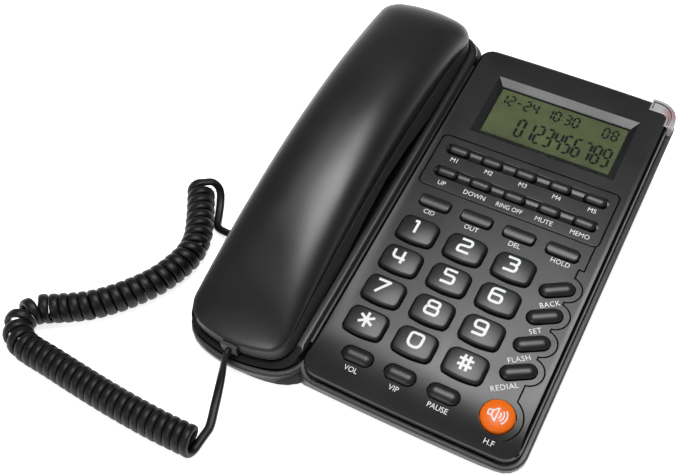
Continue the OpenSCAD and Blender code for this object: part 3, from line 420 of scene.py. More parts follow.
def fit(piece, body, finish, node=None):
    """Gives a piece its finish and the body that it moves with, and hides the CAD node that it stands
    for.
    """
    dress(piece, finish)
    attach(piece, body)
    if node:
        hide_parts(node)


def loft(name, rings, cap_first=True, cap_last=True):
    """Draws a ring round a circle primitive's vertices and extrudes it from ring to ring."""
    count = len(rings[0])
    bpy.ops.object.select_all(action="DESELECT")
    bpy.ops.mesh.primitive_circle_add(vertices=count, radius=0.01)
    piece = named(bpy.context.object, name)
    for vertex, point in zip(piece.data.vertices, rings[0]):
        vertex.co = point
    whole(piece)
    if cap_first:
        bpy.ops.mesh.edge_face_add()
        bpy.ops.mesh.select_mode(type="EDGE")
    for below, ring in zip(range(len(rings) - 1), rings[1:]):
        bpy.ops.mesh.extrude_edges_move()
        mesh = bmesh.from_edit_mesh(piece.data)
        mesh.verts.ensure_lookup_table()
        for i in range(count):
            old = mesh.verts[below * count + i]
            new = next(e.other_vert(old) for e in old.link_edges if e.other_vert(old).select)
            new.index = (below + 1) * count + i
            new.co = ring[i]
        mesh.verts.sort()
        bmesh.update_edit_mesh(piece.data)
    if cap_last:
        bpy.ops.mesh.edge_face_add()
    bpy.ops.mesh.select_all(action="SELECT")
    bpy.ops.mesh.normals_make_consistent(inside=False)
    done()
    return piece


def merged_copy(node, name, flat=0.05):
    """A copy of a CAD node with its loose triangles joined; faces within flat degrees become one."""
    pick(NODES[node])
    bpy.ops.object.duplicate()
    piece = named(bpy.context.object, name)
    bpy.ops.object.parent_clear(type="CLEAR")
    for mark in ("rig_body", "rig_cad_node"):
        del piece[mark]
    whole(piece, "VERT")
    bpy.ops.mesh.remove_doubles(threshold=MERGE)
    bpy.ops.mesh.customdata_custom_splitnormals_clear()
    whole(piece)
    bpy.ops.mesh.dissolve_limited(angle_limit=math.radians(flat))
    done()
    return piece


def on_panel(point):
    """A world point in the panel's own frame, in millimetres."""
    return (PANEL.inverted() @ point) / MM


def face_level(v):
    """Height of the panel's face, which rolls down towards its front edge."""
    past = max(0.0, ROLL_V - v)
    return math.sqrt(ROLL_R ** 2 - past ** 2) - ROLL_R


def on_face(u, v):
    """Frame on the panel's face."""
    lean = math.asin(max(0.0, ROLL_V - v) / ROLL_R)
    return (PANEL @ Matrix.Translation(Vector((u, v, face_level(v))) * MM)
            @ Matrix.Rotation(lean, 4, "X"))


def panel_box(node):
    """Lowest and highest u, v and n of a CAD node, in millimetres."""
    points = [on_panel(v.co) for v in NODES[node].data.vertices]
    return [(min(p[i] for p in points), max(p[i] for p in points)) for i in range(3)]


def place_of(node, turn=0):
    """Frame on the panel's plane at the middle of a CAD node, in metres."""
    (u0, u1), (v0, v1), _ = panel_box(node)
    return (PANEL @ Matrix.Translation(((u0 + u1) / 2 * MM, (v0 + v1) / 2 * MM, 0))
            @ Matrix.Rotation(math.radians(turn), 4, "Z"))


def copied(piece, name):
    pick(piece)
    bpy.ops.object.duplicate()
    return named(bpy.context.object, name)


def drop(piece):
    pick(piece)
    bpy.ops.object.delete()


# Outlines in plan, in millimetres

def arc(cx, cy, r, start, end, steps):
    turns = [math.radians(start + (end - start) * i / steps) for i in range(steps + 1)]
    return [(cx + r * math.cos(turn), cy + r * math.sin(turn)) for turn in turns]


def rounded(l, w, r, steps=8, cuts=4):
    """Rounded rectangle from its lower right corner, anticlockwise, with cuts along its sides."""
    x, y = l / 2 - r, w / 2 - r
    corners = [arc(x, -y, r, -90, 0, steps), arc(x, y, r, 0, 90, steps),
               arc(-x, y, r, 90, 180, steps), arc(-x, -y, r, 180, 270, steps)]
    points = []
    for i, corner in enumerate(corners):
        points += corner
        a, b = corner[-1], corners[(i + 1) % 4][0]
        points += [(a[0] + (b[0] - a[0]) * j / cuts, a[1] + (b[1] - a[1]) * j / cuts)
                   for j in range(1, cuts)]
    return points


def bowed(l, w, r, bow, grow):
    """Rounded rectangle whose front edge is bowed, drawn outwards by grow."""
    points = []
    for x, y in rounded(l + 2 * grow, w + 2 * grow, max(r + grow, 0.3)):
        front = bow - w / 2 - math.sqrt((bow + grow) ** 2 - x * x)
        # The bow takes the place of the straight front edge
        points.append((x, max(y, front) if y < 0 else y))
    return points


def capsule(l, w, grow):
    return rounded(l + 2 * grow, w + 2 * grow, w / 2 + grow - 0.01)


def disc(d, grow, steps=48):
    return arc(0, 0, d / 2 + grow, 0, 360 * (1 - 1 / steps), steps - 1)


def at(points, height):
    """A ring of metres from plan points and a height, or a height from each point."""
    return [Vector((x, y, height(x, y) if callable(height) else height)) * MM for x, y in points]


# Keys

# Foot of the lip under the panel's face, the lip's width and thickness, and the crown over the face
KEY_FOOT, KEY_LIP, KEY_LIP_T, KEY_PROUD, LARGE_RISE = -4.3, 0.8, 1.0, 2.0, 0.7
# Number keys: length, width, corner radius and radius of the bowed front edge, and of the crown
NUMBER_PLAN, NUMBER_CROWN = (18, 13.6, 3.8, 34), 55
# The figures' middle on a key, and the pip on the middle key: its two ends, width and height
FIGURE_V, PIP, PIP_W, PIP_H = 0.95, [(5.0, -0.5), (5.05, -0.5)], 0.8, 0.25
# Small keys: nodes, length, width, corner radius or None for round ends, and turn in degrees
SMALL_KEYS = [(PILLS, 10.6, 5.0, None, 0), (VOLUMES, 14.0, 7.0, None, 0),
              (SIDES, 15.0, 6.6, None, 30), (CALLERS, 14.6, 6.0, 1.8, 0)]
SMALL_EDGE, SMALL_RINGS = 0.55, 10
# The orange key: diameter, rounding of its edge, and radius of its crown
ORANGE_D, ORANGE_EDGE, ORANGE_CROWN = 14.4, 0.9, 22
# Its sign: a horn with its neck, and waves round a middle, each of a radius and half an angle
HORN = [(-4.0, 0.9), (-2.3, 0.9), (-0.3, 2.8), (-0.3, -3.3), (-2.3, -1.3), (-4.0, -1.3), (-4.0, 0.9)]
HORN_NECK, HORN_BEND = [(-2.3, 0.9), (-2.3, -1.3)], 0.3
WAVES, WAVES_AT, SIGN_STROKE = ((1.9, 42), (3.2, 44), (4.5, 42)), (-0.6, -0.2), 0.56


def ball_crown(r):
    top = KEY_PROUD + LARGE_RISE
    return lambda x, y: top - r + math.sqrt(r * r - x * x - y * y)


def rod_crown(r, run):
    """Crown of a key that is round across, with round ends past half its run."""

    def height(x, y):
        past = max(0.0, abs(x) - run / 2)
        return KEY_PROUD - r + math.sqrt(max(0.04, r * r - y * y - past * past))
    return height


def key_cap(name, plan, crown, edge, inner):
    """A key from its lip up to its crown; edge is the rounding round the top, inner its last outlines."""
    rings = [at(plan(KEY_LIP), KEY_FOOT), at(plan(KEY_LIP), KEY_FOOT + KEY_LIP_T),
             at(plan(0), KEY_FOOT + KEY_LIP_T)]
    for step in range(6):
        angle = math.radians(90 * step / 5)
        drawn, sunk = edge * (1 - math.cos(angle)), edge * (1 - math.sin(angle))
        rings.append(at(plan(-drawn), lambda x, y: crown(x, y) - sunk))
    rings += [at(points, crown) for points in inner]
    piece = loft(name, rings)
    smooth(piece, 50, False)
    return piece


def shrunk(points, shares=(0.9, 0.78, 0.65, 0.52, 0.4, 0.28, 0.17, 0.08, 0.03)):
    """Ever smaller copies of an outline, towards its middle."""
    return [[(x * share, y * share) for x, y in points] for share in shares]


def bends(points, radius):
    """A line through points with its corners rounded."""
    line = [Vector(points[0])]
    for a, b, c in zip(points, points[1:], points[2:]):
        a, b, c = Vector(a), Vector(b), Vector(c)
        cut = min(radius, (a - b).length * 0.5, (c - b).length * 0.5)
        p, q = b + (a - b).normalized() * cut, b + (c - b).normalized() * cut
        line += [p * (1 - t) ** 2 + b * 2 * t * (1 - t) + q * t * t for t in [i / 8 for i in range(9)]]
    line.append(Vector(points[-1]))
    fine = []
    for a, b in zip(line, line[1:]):
        parts = max(1, math.ceil((b - a).length / 0.6))
        fine += [a.lerp(b, i / parts) for i in range(parts)]
    return fine + [line[-1]]


def strokes(name, lines, width, crown, thick):
    """Printed strokes that lie on a crown: flattened round runs along the lines, in millimetres."""
    curve = bpy.data.curves.new(name, "CURVE")
    curve.dimensions = "3D"
    curve.bevel_depth = width / 2
    curve.bevel_resolution = 3
    curve.use_fill_caps = True
    for line in lines:
        spline = curve.splines.new("POLY")
        spline.points.add(len(line) - 1)
        for point, spot in zip(spline.points, line):
            point.co = (spot[0], spot[1], 0, 1)
    pick(linked(name, curve))
    bpy.ops.object.convert(target="MESH")
    piece = named(bpy.context.object, name)
    for vertex in piece.data.vertices:
        x, y, z = vertex.co
        vertex.co = Vector((x, y, crown(x, y) + thick * (0.4 + 0.6 * z / (width / 2)))) * MM
    smooth(piece, 60, False)
    return piece


def small_plan(l, w, r, grow):
    """Outline of a small key, drawn outwards by grow."""
    if r is None:
        return capsule(l, w, grow)
    return rounded(l + 2 * grow, w + 2 * grow, max(0.02, r + grow))


class TELEPHONE_OT_number_keys(bpy.types.Operator):
    """Models the twelve number keys with their figures"""
    bl_idname = "telephone.number_keys"
    bl_label = "Number keys"

    def execute(self, context):
        size, paint = sizes(), colours()
        black = moulded("key_black", paint.key, 0.33, 0.00035, 0.000012, 0.10, drift=0.3)
        white = ink("figure_white", paint.ink)
        crown = ball_crown(NUMBER_CROWN)
        edge = size.cap_edge / MM
        first = key_cap("cap_pattern", partial(bowed, *NUMBER_PLAN), crown, edge,
                        shrunk(bowed(*NUMBER_PLAN, -edge)))
        w, h = (size.figure_w - size.stroke) / 2 / MM, (size.figure_h - size.stroke) / 2 / MM
        for node, mark in NUMBERS.items():
            place = place_of(node)
            cap = copied(first, "cap" + node[3:])
            settle(cap, place)
            fit(cap, node, black, node)
            middle = FIGURE_U.get(mark, 0)
            lines = [[(p.x * w + middle, p.y * h + FIGURE_V) for p in bends(points, radius)]
                     for points, radius in FIGURES[mark]]
            figure = strokes("figure" + node[3:], lines, size.stroke / MM, crown, size.ink / MM)
            settle(figure, place)
            fit(figure, node, white)
        pip = strokes("pip_5", [PIP], PIP_W, crown, PIP_H)
        settle(pip, place_of("key_5"))
        fit(pip, "key_5", black)
        drop(first)
        return {"FINISHED"}


class TELEPHONE_OT_small_keys(bpy.types.Operator):
    """Models the memory, function, caller, side and volume keys"""
    bl_idname = "telephone.small_keys"
    bl_label = "Small keys"

    def execute(self, context):
        black = moulded("small_key_black", colours().key, 0.34, 0.0003, 0.000010, 0.10, drift=0.3)
        for nodes, l, w, r, turn in SMALL_KEYS:
            plan = partial(small_plan, l, w, r)
            crown = rod_crown(0.8 * w, l - w) if r is None else rod_crown(1.3 * w, l)
            depth = w / 2 - 0.05 - SMALL_EDGE
            inner = [plan(-SMALL_EDGE - depth * i / SMALL_RINGS) for i in range(1, SMALL_RINGS + 1)]
            first = key_cap("small_pattern", plan, crown, SMALL_EDGE, inner)
            for node in nodes:
                cap = copied(first, "cap" + node[3:])
                settle(cap, place_of(node, turn))
                fit(cap, node, black, node)
            drop(first)
        return {"FINISHED"}


class TELEPHONE_OT_hands_free_key(bpy.types.Operator):
    """Models the orange hands-free key with its loudspeaker sign"""
    bl_idname = "telephone.hands_free_key"
    bl_label = "Hands-free key"

    def execute(self, context):
        paint, node = colours(), "key_handsfree"
        crown = ball_crown(ORANGE_CROWN)
        place = place_of(node)
        cap = key_cap("cap_handsfree", partial(disc, ORANGE_D), crown, ORANGE_EDGE,
                      shrunk(disc(ORANGE_D, -ORANGE_EDGE)))
        settle(cap, place)
        orange = moulded("key_orange", paint.orange, 0.30, 0.0004, 0.000008, 0.05, drift=0.3, shine=0.3)
        fit(cap, node, orange, node)
        lines = [bends(HORN, HORN_BEND), bends(HORN_NECK, 0)]
        lines += [arc(*WAVES_AT, r, -a, a, 10) for r, a in WAVES]
        sign = strokes("sign_handsfree", lines, SIGN_STROKE, crown, sizes().ink / MM)
        settle(sign, place)
        fit(sign, node, ink("sign_white", paint.ink))
        return {"FINISHED"}


# Base

class TELEPHONE_OT_cover(bpy.types.Operator):
    """Models the key panel and cradle, with rounded rims round its openings"""
    bl_idname = "telephone.cover"
    bl_label = "Cover"

    # Rounding of the grooves' rims in metres, how deep a groove may be, and the depths painted with shade
    GROOVE_RIM, GROOVE_DEEP, GROOVE_SHADE = 0.00022, 0.6, (0.2, 0.56)
    # Behind these v, between these n, lie the display's rear bevel and the panel's rear edge with painted
    # highlight
    BEVEL_V, REAR_V, BEVEL_N = 165, 196.5, (-4, -0.03)

    def on_rim(self, edge, groove):
        """Whether the panel's face turns down here, into a groove or else into a deeper opening."""
        if any(abs(p.z - face_level(p.y)) > 0.05 for p in [on_panel(v.co) for v in edge.verts]):
            return False
        flat = [f for f in edge.link_faces if f.normal.dot(FACE) > 0.98]
        walls = [f for f in edge.link_faces if abs(f.normal.dot(FACE)) < 0.5]
        if len(flat) != 1 or len(walls) != 1:
            return False
        return (min(on_panel(v.co).z for v in walls[0].verts) > -self.GROOVE_DEEP) == groove

    def face_normals(self, mesh):
        """Lets the panel's face, with its roll, shade as one smooth sweep between the keys."""
        normals = [c.vector.copy() for c in mesh.corner_normals]
        for part in mesh.polygons:
            middle = on_panel(part.center)
            level = abs(middle.z - face_level(middle.y)) < 0.2
            if level and middle.x > 0 and part.normal.dot(FACE) > 0.97:
                for corner in part.loop_indices:
                    spot = on_panel(mesh.vertices[mesh.loops[corner].vertex_index].co)
                    lean = max(0.0, SHADE_V - spot.y) / SHADE_R
                    normals[corner] = PANEL.to_3x3() @ Vector((0, -math.sin(lean), math.cos(lean)))
        mesh.normals_split_custom_set(normals)

    def finish_at(self, part):
        """Index of a face's finish: 0 the grain, 1 painted shade in the grooves, 2 a painted highlight on
        the bevels at the rear.
        """
        middle, way = on_panel(part.center), PANEL.to_3x3().inverted() @ part.normal
        if middle.x <= 0:
            return 0
        low, high = self.BEVEL_N
        if middle.y > self.BEVEL_V and low < middle.z < high and way.z > 0.3:
            if way.y < -0.3 or (way.y > 0.3 and middle.y > self.REAR_V):
                return 2
        least, most = self.GROOVE_SHADE
        return int(least < face_level(middle.y) - middle.z < most)

    def execute(self, context):
        piece = merged_copy("top_cover", "cover_shell")
        edit(piece)
        for groove, offset in ((False, sizes().rim), (True, self.GROOVE_RIM)):
            for run in edge_runs(piece, lambda edge: self.on_rim(edge, groove)):
                choose_edges(piece, lambda edge: middle_of(edge) in run)
                bpy.ops.mesh.bevel(
                    offset=offset, segments=2, profile=0.5, affect="EDGES", clamp_overlap=True)
        done()
        smooth(piece, 38)
        self.face_normals(piece.data)
        grain = moulded("cover_grain", colours().cover, 0.30, 0.0006, 0.00003, 0.35, strength=0.4)
        fit(piece, "base", grain, "top_cover")
        # Painted shade: the grooves' floors and walls are coloured near black and given little gloss
        groove = moulded("groove_painted_shade", (0.0012, 0.0012, 0.0013), 0.6, 0.0006, 0.00002, 0.2, shine=0.05)
        # Painted highlight: these bevels get a colour far lighter than the cover's, standing in for a
        # reflection, and more gloss
        painted_highlight = moulded("bevel_painted_highlight", (0.055, 0.0555, 0.057), 0.30, 0.0006, 0.00002, 0.2, shine=1.0)
        inlay(piece, [groove, painted_highlight], self.finish_at)
        return {"FINISHED"}


class TELEPHONE_OT_housing(bpy.types.Operator):
    """Models the lower housing with its rim"""
    bl_idname = "telephone.housing"
    bl_label = "Lower housing"

    def execute(self, context):
        piece = merged_copy("lower_housing", "housing_tray")
        smooth(piece, 38)
        grain = moulded("housing_grain", colours().housing, 0.36, 0.0005, 0.00003, 0.2)
        fit(piece, "base", grain, "lower_housing")
        return {"FINISHED"}


class TELEPHONE_OT_words(bpy.types.Operator):
    """Prints the words on the key panel"""
    bl_idname = "telephone.words"
    bl_label = "Panel words"

    # Width of the letters to their own, less in the longest word, and the slanted words' spacing
    LETTER_W, NARROW_W, NARROW_WORD, SLANT_SPACE = 0.94, 0.84, "RING OFF", 1.12

    def word(self, text, u, v, turn):
        """One word as a thin mesh on the panel's face, a fifth of the ink's thickness sunk in."""
        size = sizes()
        bpy.ops.object.text_add()
        word = bpy.context.object
        word.data.body = text
        word.data.size = 1
        word.data.space_character = self.SLANT_SPACE if turn else 1.0
        word.data.resolution_u = 3
        word.data.extrude = 0.5
        pick(word)
        bpy.ops.object.convert(target="MESH")
        word = bpy.context.object
        xs = [p.co.x for p in word.data.vertices]
        ys = [p.co.y for p in word.data.vertices]
        tall = size.word_h / (max(ys) - min(ys))
        wide = tall * (self.NARROW_W if text == self.NARROW_WORD else self.LETTER_W)
        middle = Matrix.Translation((-(min(xs) + max(xs)) / 2, -(min(ys) + max(ys)) / 2, 0.3))
        settle(word, on_face(u, v) @ Matrix.Rotation(math.radians(turn), 4, "Z")
               @ Matrix.Diagonal((wide, tall, size.ink, 1)) @ middle)
        return word

    def execute(self, context):
        piece = joined([self.word(*row) for row in WORDS], "panel_words")
        fit(piece, "base", ink("word_white", colours().ink))
        return {"FINISHED"}


class TELEPHONE_OT_display(bpy.types.Operator):
    """Models the window, the liquid crystal panel and its figures"""
    bl_idname = "telephone.display"
    bl_label = "Display"

    # Dark border round what the display shows: printed at its sides and front, painted shade at its rear
    EDGE_SIDE, EDGE_FRONT, EDGE_REAR = 1.1, 2.3, 1.1
    # The large figures: first u, pitch, v of their feet, width, and width of their bars
    LARGE_U, LARGE_PITCH, LARGE_V, LARGE_W, LARGE_BAR = -15.0, 4.74, -10.0, 3.1, 1.25
    # The upper row: text, its first u, its pitch and how far it parts at its middle
    UPPER = (("12-24", -29.2, 4.1, 0), ("1030", -5.6, 4.0, 1.4), ("08", 22.8, 4.3, 0))
    UPPER_V, UPPER_W, UPPER_H, UPPER_BAR = 9.0, 2.5, 5.8, 1.0
    # The two dots in it: u, both v, half their height, and width
    DOTS_U, DOTS_V, DOT_H, DOT_W = 1.1, (7.8, 10.2), 0.4, 0.9
    # How far the bars stand in the display's face, their thickness, and the gaps at their ends to a
    # figure's width
    BAR_SUNK, BAR_T, BAR_GAP = 0.005, 0.02, 0.06

    def bar(self, a, b, width):
        """One bar with pointed ends, on the display's face."""
        a, b = Vector(a), Vector(b)
        run = (b - a).normalized()
        side = Vector((-run.y, run.x)) * width / 2
        tip = run * min(width, (b - a).length) / 2
        plan = [a, a + tip - side, b - tip - side, b, b - tip + side, a + tip + side]
        return loft("bar", [at(plan, z) for z in (0.0, self.BAR_T)])

    def figure(self, text, u, v, w, h, width):
        """The lit bars of one figure round its middle."""
        l, r, t, m, b = u - w / 2, u + w / 2, v + h / 2, v, v - h / 2
        g = self.BAR_GAP * w
        ends = {"a": ((l + g, t), (r - g, t)), "b": ((r, t - g), (r, m + g)),
                "c": ((r, m - g), (r, b + g)), "d": ((l + g, b), (r - g, b)),
                "e": ((l, m - g), (l, b + g)), "f": ((l, t - g), (l, m + g)),
                "g": ((l + g, m), (r - g, m))}
        return [self.bar(*ends[s], width) for s in BARS[text]]

    def ground_finish(self, rgb):
        """The liquid crystal's ground, clouded and finely dotted."""
        made, tree, place = patterned("lcd_ground")
        cloud = noise(tree, place, 55.0, 2.0)
        tone = ramp(tree, cloud, [c * 0.82 for c in rgb], [c * 1.12 for c in rgb])
        dots = add(tree, "TexVoronoi", {"Vector": place, "Scale": 2400.0})
        bump = add(tree, "Bump", {"Height": dots, "Strength": 0.15, "Distance": 0.00002})
        close(tree, add(tree, "BsdfPrincipled", {
            "Base Color": tone, "Roughness": 0.5, "Normal": bump,
            "Specular IOR Level": 0.05}))
        return made

    def ground(self, place, l, w, low, high):
        """The liquid crystal panel with its dark border, printed at the sides and front, painted shade at
        the rear.
        """
        shown = rounded(l - 2 * self.EDGE_SIDE, w - self.EDGE_FRONT - self.EDGE_REAR, 0.5)
        inner = [(x, y + (self.EDGE_FRONT - self.EDGE_REAR) / 2) for x, y in shown]
        piece = loft("lcd_glass", [at(rounded(l, w, 0.6), low), at(rounded(l, w, 0.6), high - 0.15),
                                   at(rounded(l - 0.3, w - 0.3, 0.5), high), at(inner, high)])
        settle(piece, place)
        smooth(piece)
        fit(piece, "base", self.ground_finish(colours().lcd), "lcd_panel")
        # The border's rear band is painted shade, where the window's rear rim would shade the display
        border_and_shade = moulded("lcd_border_and_shade", (0.006, 0.0062, 0.0055), 0.5, 0.0004, 0.00001, shine=0.05)
        inlay(piece, [border_and_shade], lambda part: int(
            len(part.vertices) == 4 or on_panel(part.center).z < high - 0.01))

    def figures(self, place):
        """What the display shows."""
        tall, marks = sizes().lcd_h / MM, []
        for i, text in enumerate("0123456789"):
            marks += self.figure(text, self.LARGE_U + self.LARGE_PITCH * i, tall / 2 + self.LARGE_V,
                                 self.LARGE_W, tall, self.LARGE_BAR)
        for text, u, pitch, part in self.UPPER:
            for i, one in enumerate(text):
                marks += self.figure(one, u + pitch * i + part * (i > 1), self.UPPER_V, self.UPPER_W,
                                     self.UPPER_H, self.UPPER_BAR)
        for v in self.DOTS_V:
            foot, top = (self.DOTS_U, v - self.DOT_H), (self.DOTS_U, v + self.DOT_H)
            marks.append(self.bar(foot, top, self.DOT_W))
        piece = joined(marks, "lcd_figures")
        settle(piece, place)
        fit(piece, "base", moulded("lcd_bars", colours().bars, 0.5, 0.0004, 0.00001, shine=0.05))

    def window(self, place):
        """The clear window over the display, with its edges broken."""
        (u0, u1), (v0, v1), (n0, n1) = panel_box("display_lens")
        l, w = u1 - u0, v1 - v0
        full, less = rounded(l, w, 1), rounded(l - 0.2, w - 0.2, 0.9)
        piece = loft("window", [at(less, n0 + 0.25), at(full, n0 + 0.35),
                                at(full, n1 - 0.1), at(less, n1)])
        settle(piece, place)
        smooth(piece)
        finish = clear("window_clear", (0.93, 0.95, 0.92), 0.06, 0.000004)
        fit(piece, "base", finish, "display_lens")

    def execute(self, context):
        (u0, u1), (v0, v1), (n0, n1) = panel_box("lcd_panel")
        place = place_of("lcd_panel")
        self.ground(place, u1 - u0, v1 - v0, n0, n1)
        self.figures(place @ Matrix.Translation((0, 0, (n1 - self.BAR_SUNK) * MM)))
        self.window(place)
        return {"FINISHED"}


class TELEPHONE_OT_lamp(bpy.types.Operator):
    """Models the clear corner cover of the ring lamp"""
    bl_idname = "telephone.lamp"
    bl_label = "Ring lamp"

    # Rounding of the edges, and the step in the top, in metres: its rim, the run of its wall, its depth
    EDGE, STEP_RIM, STEP_RUN, STEP_DEEP = 0.0004, 0.0005, 0.0004, 0.0005
    # What stands higher than this n is seen
    SEEN_N = -1

    def step(self, piece):
        """Sinks the top of the piece in edit mode inside a narrow rim."""
        bpy.ops.mesh.select_mode(type="FACE")
        bpy.ops.mesh.select_all(action="DESELECT")
        mesh = bmesh.from_edit_mesh(piece.data)
        top = max(on_panel(v.co).z for v in mesh.verts)
        for face in mesh.faces:
            face.select_set(all(on_panel(v.co).z > top - 0.02 for v in face.verts))
        bmesh.update_edit_mesh(piece.data)
        bpy.ops.mesh.inset(thickness=self.STEP_RIM)
        bpy.ops.mesh.inset(thickness=self.STEP_RUN, depth=-self.STEP_DEEP)

    def execute(self, context):
        piece = merged_copy("lamp_lens", "lamp_cover")
        edit(piece)
        choose_edges(piece, lambda e: e.calc_face_angle(0) > math.radians(60)
                     and all(on_panel(v.co).z > self.SEEN_N for v in e.verts))
        bpy.ops.mesh.bevel(offset=self.EDGE, segments=2, profile=0.5, affect="EDGES")
        self.step(piece)
        done()
        smooth(piece, 38)
        # Painted red glow: the clear cover is tinted pink round the red lamp below it
        low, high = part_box("ring_lamp")
        glow = ((0.74, 0.40, 0.43), (low + high) / 2, 0.0065)
        finish = clear("lamp_clear", (0.97, 0.96, 0.97), 0.06, 0.00001, 0.58, glow)
        fit(piece, "base", finish, "lamp_lens")
        # Painted shade: the step's wall is coloured dark, standing in for the dark below it showing
        # through
        seen = [p for p in piece.data.polygons if on_panel(p.center).z > self.SEEN_N]
        well = max(seen, key=lambda p: p.area)
        painted_step_shade = moulded("lamp_step_shade", (0.06, 0.055, 0.057), 0.15, 0.0006, 0.00001)
        inlay(piece, [painted_step_shade], lambda part: int(
            part.index != well.index and len(set(part.vertices) & set(well.vertices)) >= 2))
        red = moulded("lamp_red", colours().lamp, 0.2, 0.0006, 0.000004, 0.1, coat=0.4)
        dress(NODES["ring_lamp"], red)
        return {"FINISHED"}


# Handset

# Its width and length, and its middle on the panel
HANDSET_W, HANDSET_L, HANDSET_U, HANDSET_V = 48.0, 203.0, -29.4, 100.3
# Radius of its ends and corners in plan, and thickness of its shell
END_R, CORNER_R, SHELL_T = 60.0, 10.5, 2.0
# The ridge: its height, how far it drops to the ends, where it is highest, and the dome's roundness
CROWN_H, CROWN_DROP, CROWN_SHIFT, DOME_POWER = 30.9, 19.0, 13.0, 2.5
# Height of the line between the two shells, at the ends and in the middle
PART_END, PART_MID = 4.5, 16.0
# Rings of the dome outside and inside, as shares of the way from its edge to its ridge
OUTER = (0.003, 0.01, 0.022, 0.04, 0.065, 0.095, 0.13, 0.17, 0.22, 0.28, 0.35, 0.43, 0.52, 0.62,
         0.73, 0.84, 0.93, 1.0)
INNER = (1.0, 0.8, 0.5, 0.2, 0.05, 0.0)


def handset_outline(k):
    """The handset's outline in plan, drawn in by k."""
    a, b = HANDSET_W / 2 - k, HANDSET_L / 2 - k
    r, e = max(CORNER_R - k, 0.4), END_R - k
    yc = b - e + math.sqrt((e - r) ** 2 - (a - r) ** 2)
    turn = math.degrees(math.atan2(yc - b + e, a - r))
    right = (arc(0, e - b, e, -90, -turn, 10)[:-1] + arc(a - r, -yc, r, -turn, 0, 12)
             + [(a, -yc + 2 * yc * i / 24) for i in range(1, 24)]
             + arc(a - r, yc, r, 0, turn, 12) + arc(0, b - e, e, turn, 90, 10)[1:])
    return right + [(-x, y) for x, y in right[-2:0:-1]]


def crown_line(y):
    """Height of the ridge along the handset."""
    return CROWN_H - CROWN_DROP * ((y - CROWN_SHIFT) / (HANDSET_L / 2)) ** 2


def parting(y):
    """Height of the line between the two shells along the handset."""
    return PART_MID - (PART_MID - PART_END) * (y / (HANDSET_L / 2)) ** 2


class TELEPHONE_OT_handset(bpy.types.Operator):
    """Models the two shells of the handset"""
    bl_idname = "telephone.handset"
    bl_label = "Handset"

    def ring(self, share, drawn=0.0):
        """A ring of the dome, a share of the way from its edge to its ridge."""
        rise = (1 - (1 - share) ** DOME_POWER) ** (1 / DOME_POWER)
        points = [(x * (1 - share), y * (1 - share * HANDSET_W / HANDSET_L))
                  for x, y in handset_outline(drawn)]
        return at(points, lambda x, y: parting(y) + (crown_line(y) - drawn - parting(y)) * rise)

    def execute(self, context):
        paint = colours()
        # The crown's edge is drawn in a little at its foot, which makes the line between the shells
        foot = at(handset_outline(0.35), lambda x, y: parting(y) - 0.02)
        lip = at(handset_outline(0.3), lambda x, y: parting(y) + 0.45)
        rings = [self.ring(s, SHELL_T) for s in INNER] + [foot, lip] + [self.ring(s) for s in OUTER]
        crown = loft("handset_crown", rings, False, False)
        whole(crown)
        bpy.ops.mesh.remove_doubles(threshold=MERGE)
        bpy.ops.mesh.normals_make_consistent(inside=False)
        settle(crown, PANEL @ Matrix.Translation((HANDSET_U * MM, HANDSET_V * MM, 0)))
        smooth(crown, 40, False)
        satin = moulded("handset_satin", paint.handset, 0.32, 0.00045, 0.00003, 0.2, shine=0.65)
        fit(crown, "handset", satin, "handset_back")
        face = merged_copy("handset_front", "handset_face", 0.5)
        smooth(face, 38)
        grain = moulded("handset_face_grain", paint.face, 0.45, 0.00045, 0.00004, 0.18)
        fit(face, "handset", grain, "handset_front")
        return {"FINISHED"}


# Cord

def spline(points, steps):
    """Smooth line through points, with a number of steps from each to the next."""
    line = []
    for i in range(len(points) - 1):
        p0 = points[i - 1] if i else 2 * points[0] - points[1]
        p1, p2 = points[i], points[i + 1]
        p3 = points[i + 2] if i + 2 < len(points) else 2 * points[-1] - points[-2]
        for step in range(steps):
            t = step / steps
            line.append(0.5 * (2 * p1 + (p2 - p0) * t + (2 * p0 - 5 * p1 + 4 * p2 - p3) * t * t
                               + (3 * p1 - p0 - 3 * p2 + p3) * t ** 3))
    return line + [points[-1]]


def tangents(line):
    last = len(line) - 1
    return [(line[min(i + 1, last)] - line[max(i - 1, 0)]).normalized() for i in range(last + 1)]


def between(x, table):
    """Value at x on a line through the table's points."""
    for (a, low), (b, high) in zip(table, table[1:]):
        if x <= b:
            return low + (high - low) * (x - a) / (b - a)
    return table[-1][1]


def on_desk(u, y, z):
    """A point from u, the distance behind the panel's front edge and the height over the table."""
    return Vector((u, y, z)) + Vector((CORNER.x, CORNER.y, 0)) / MM


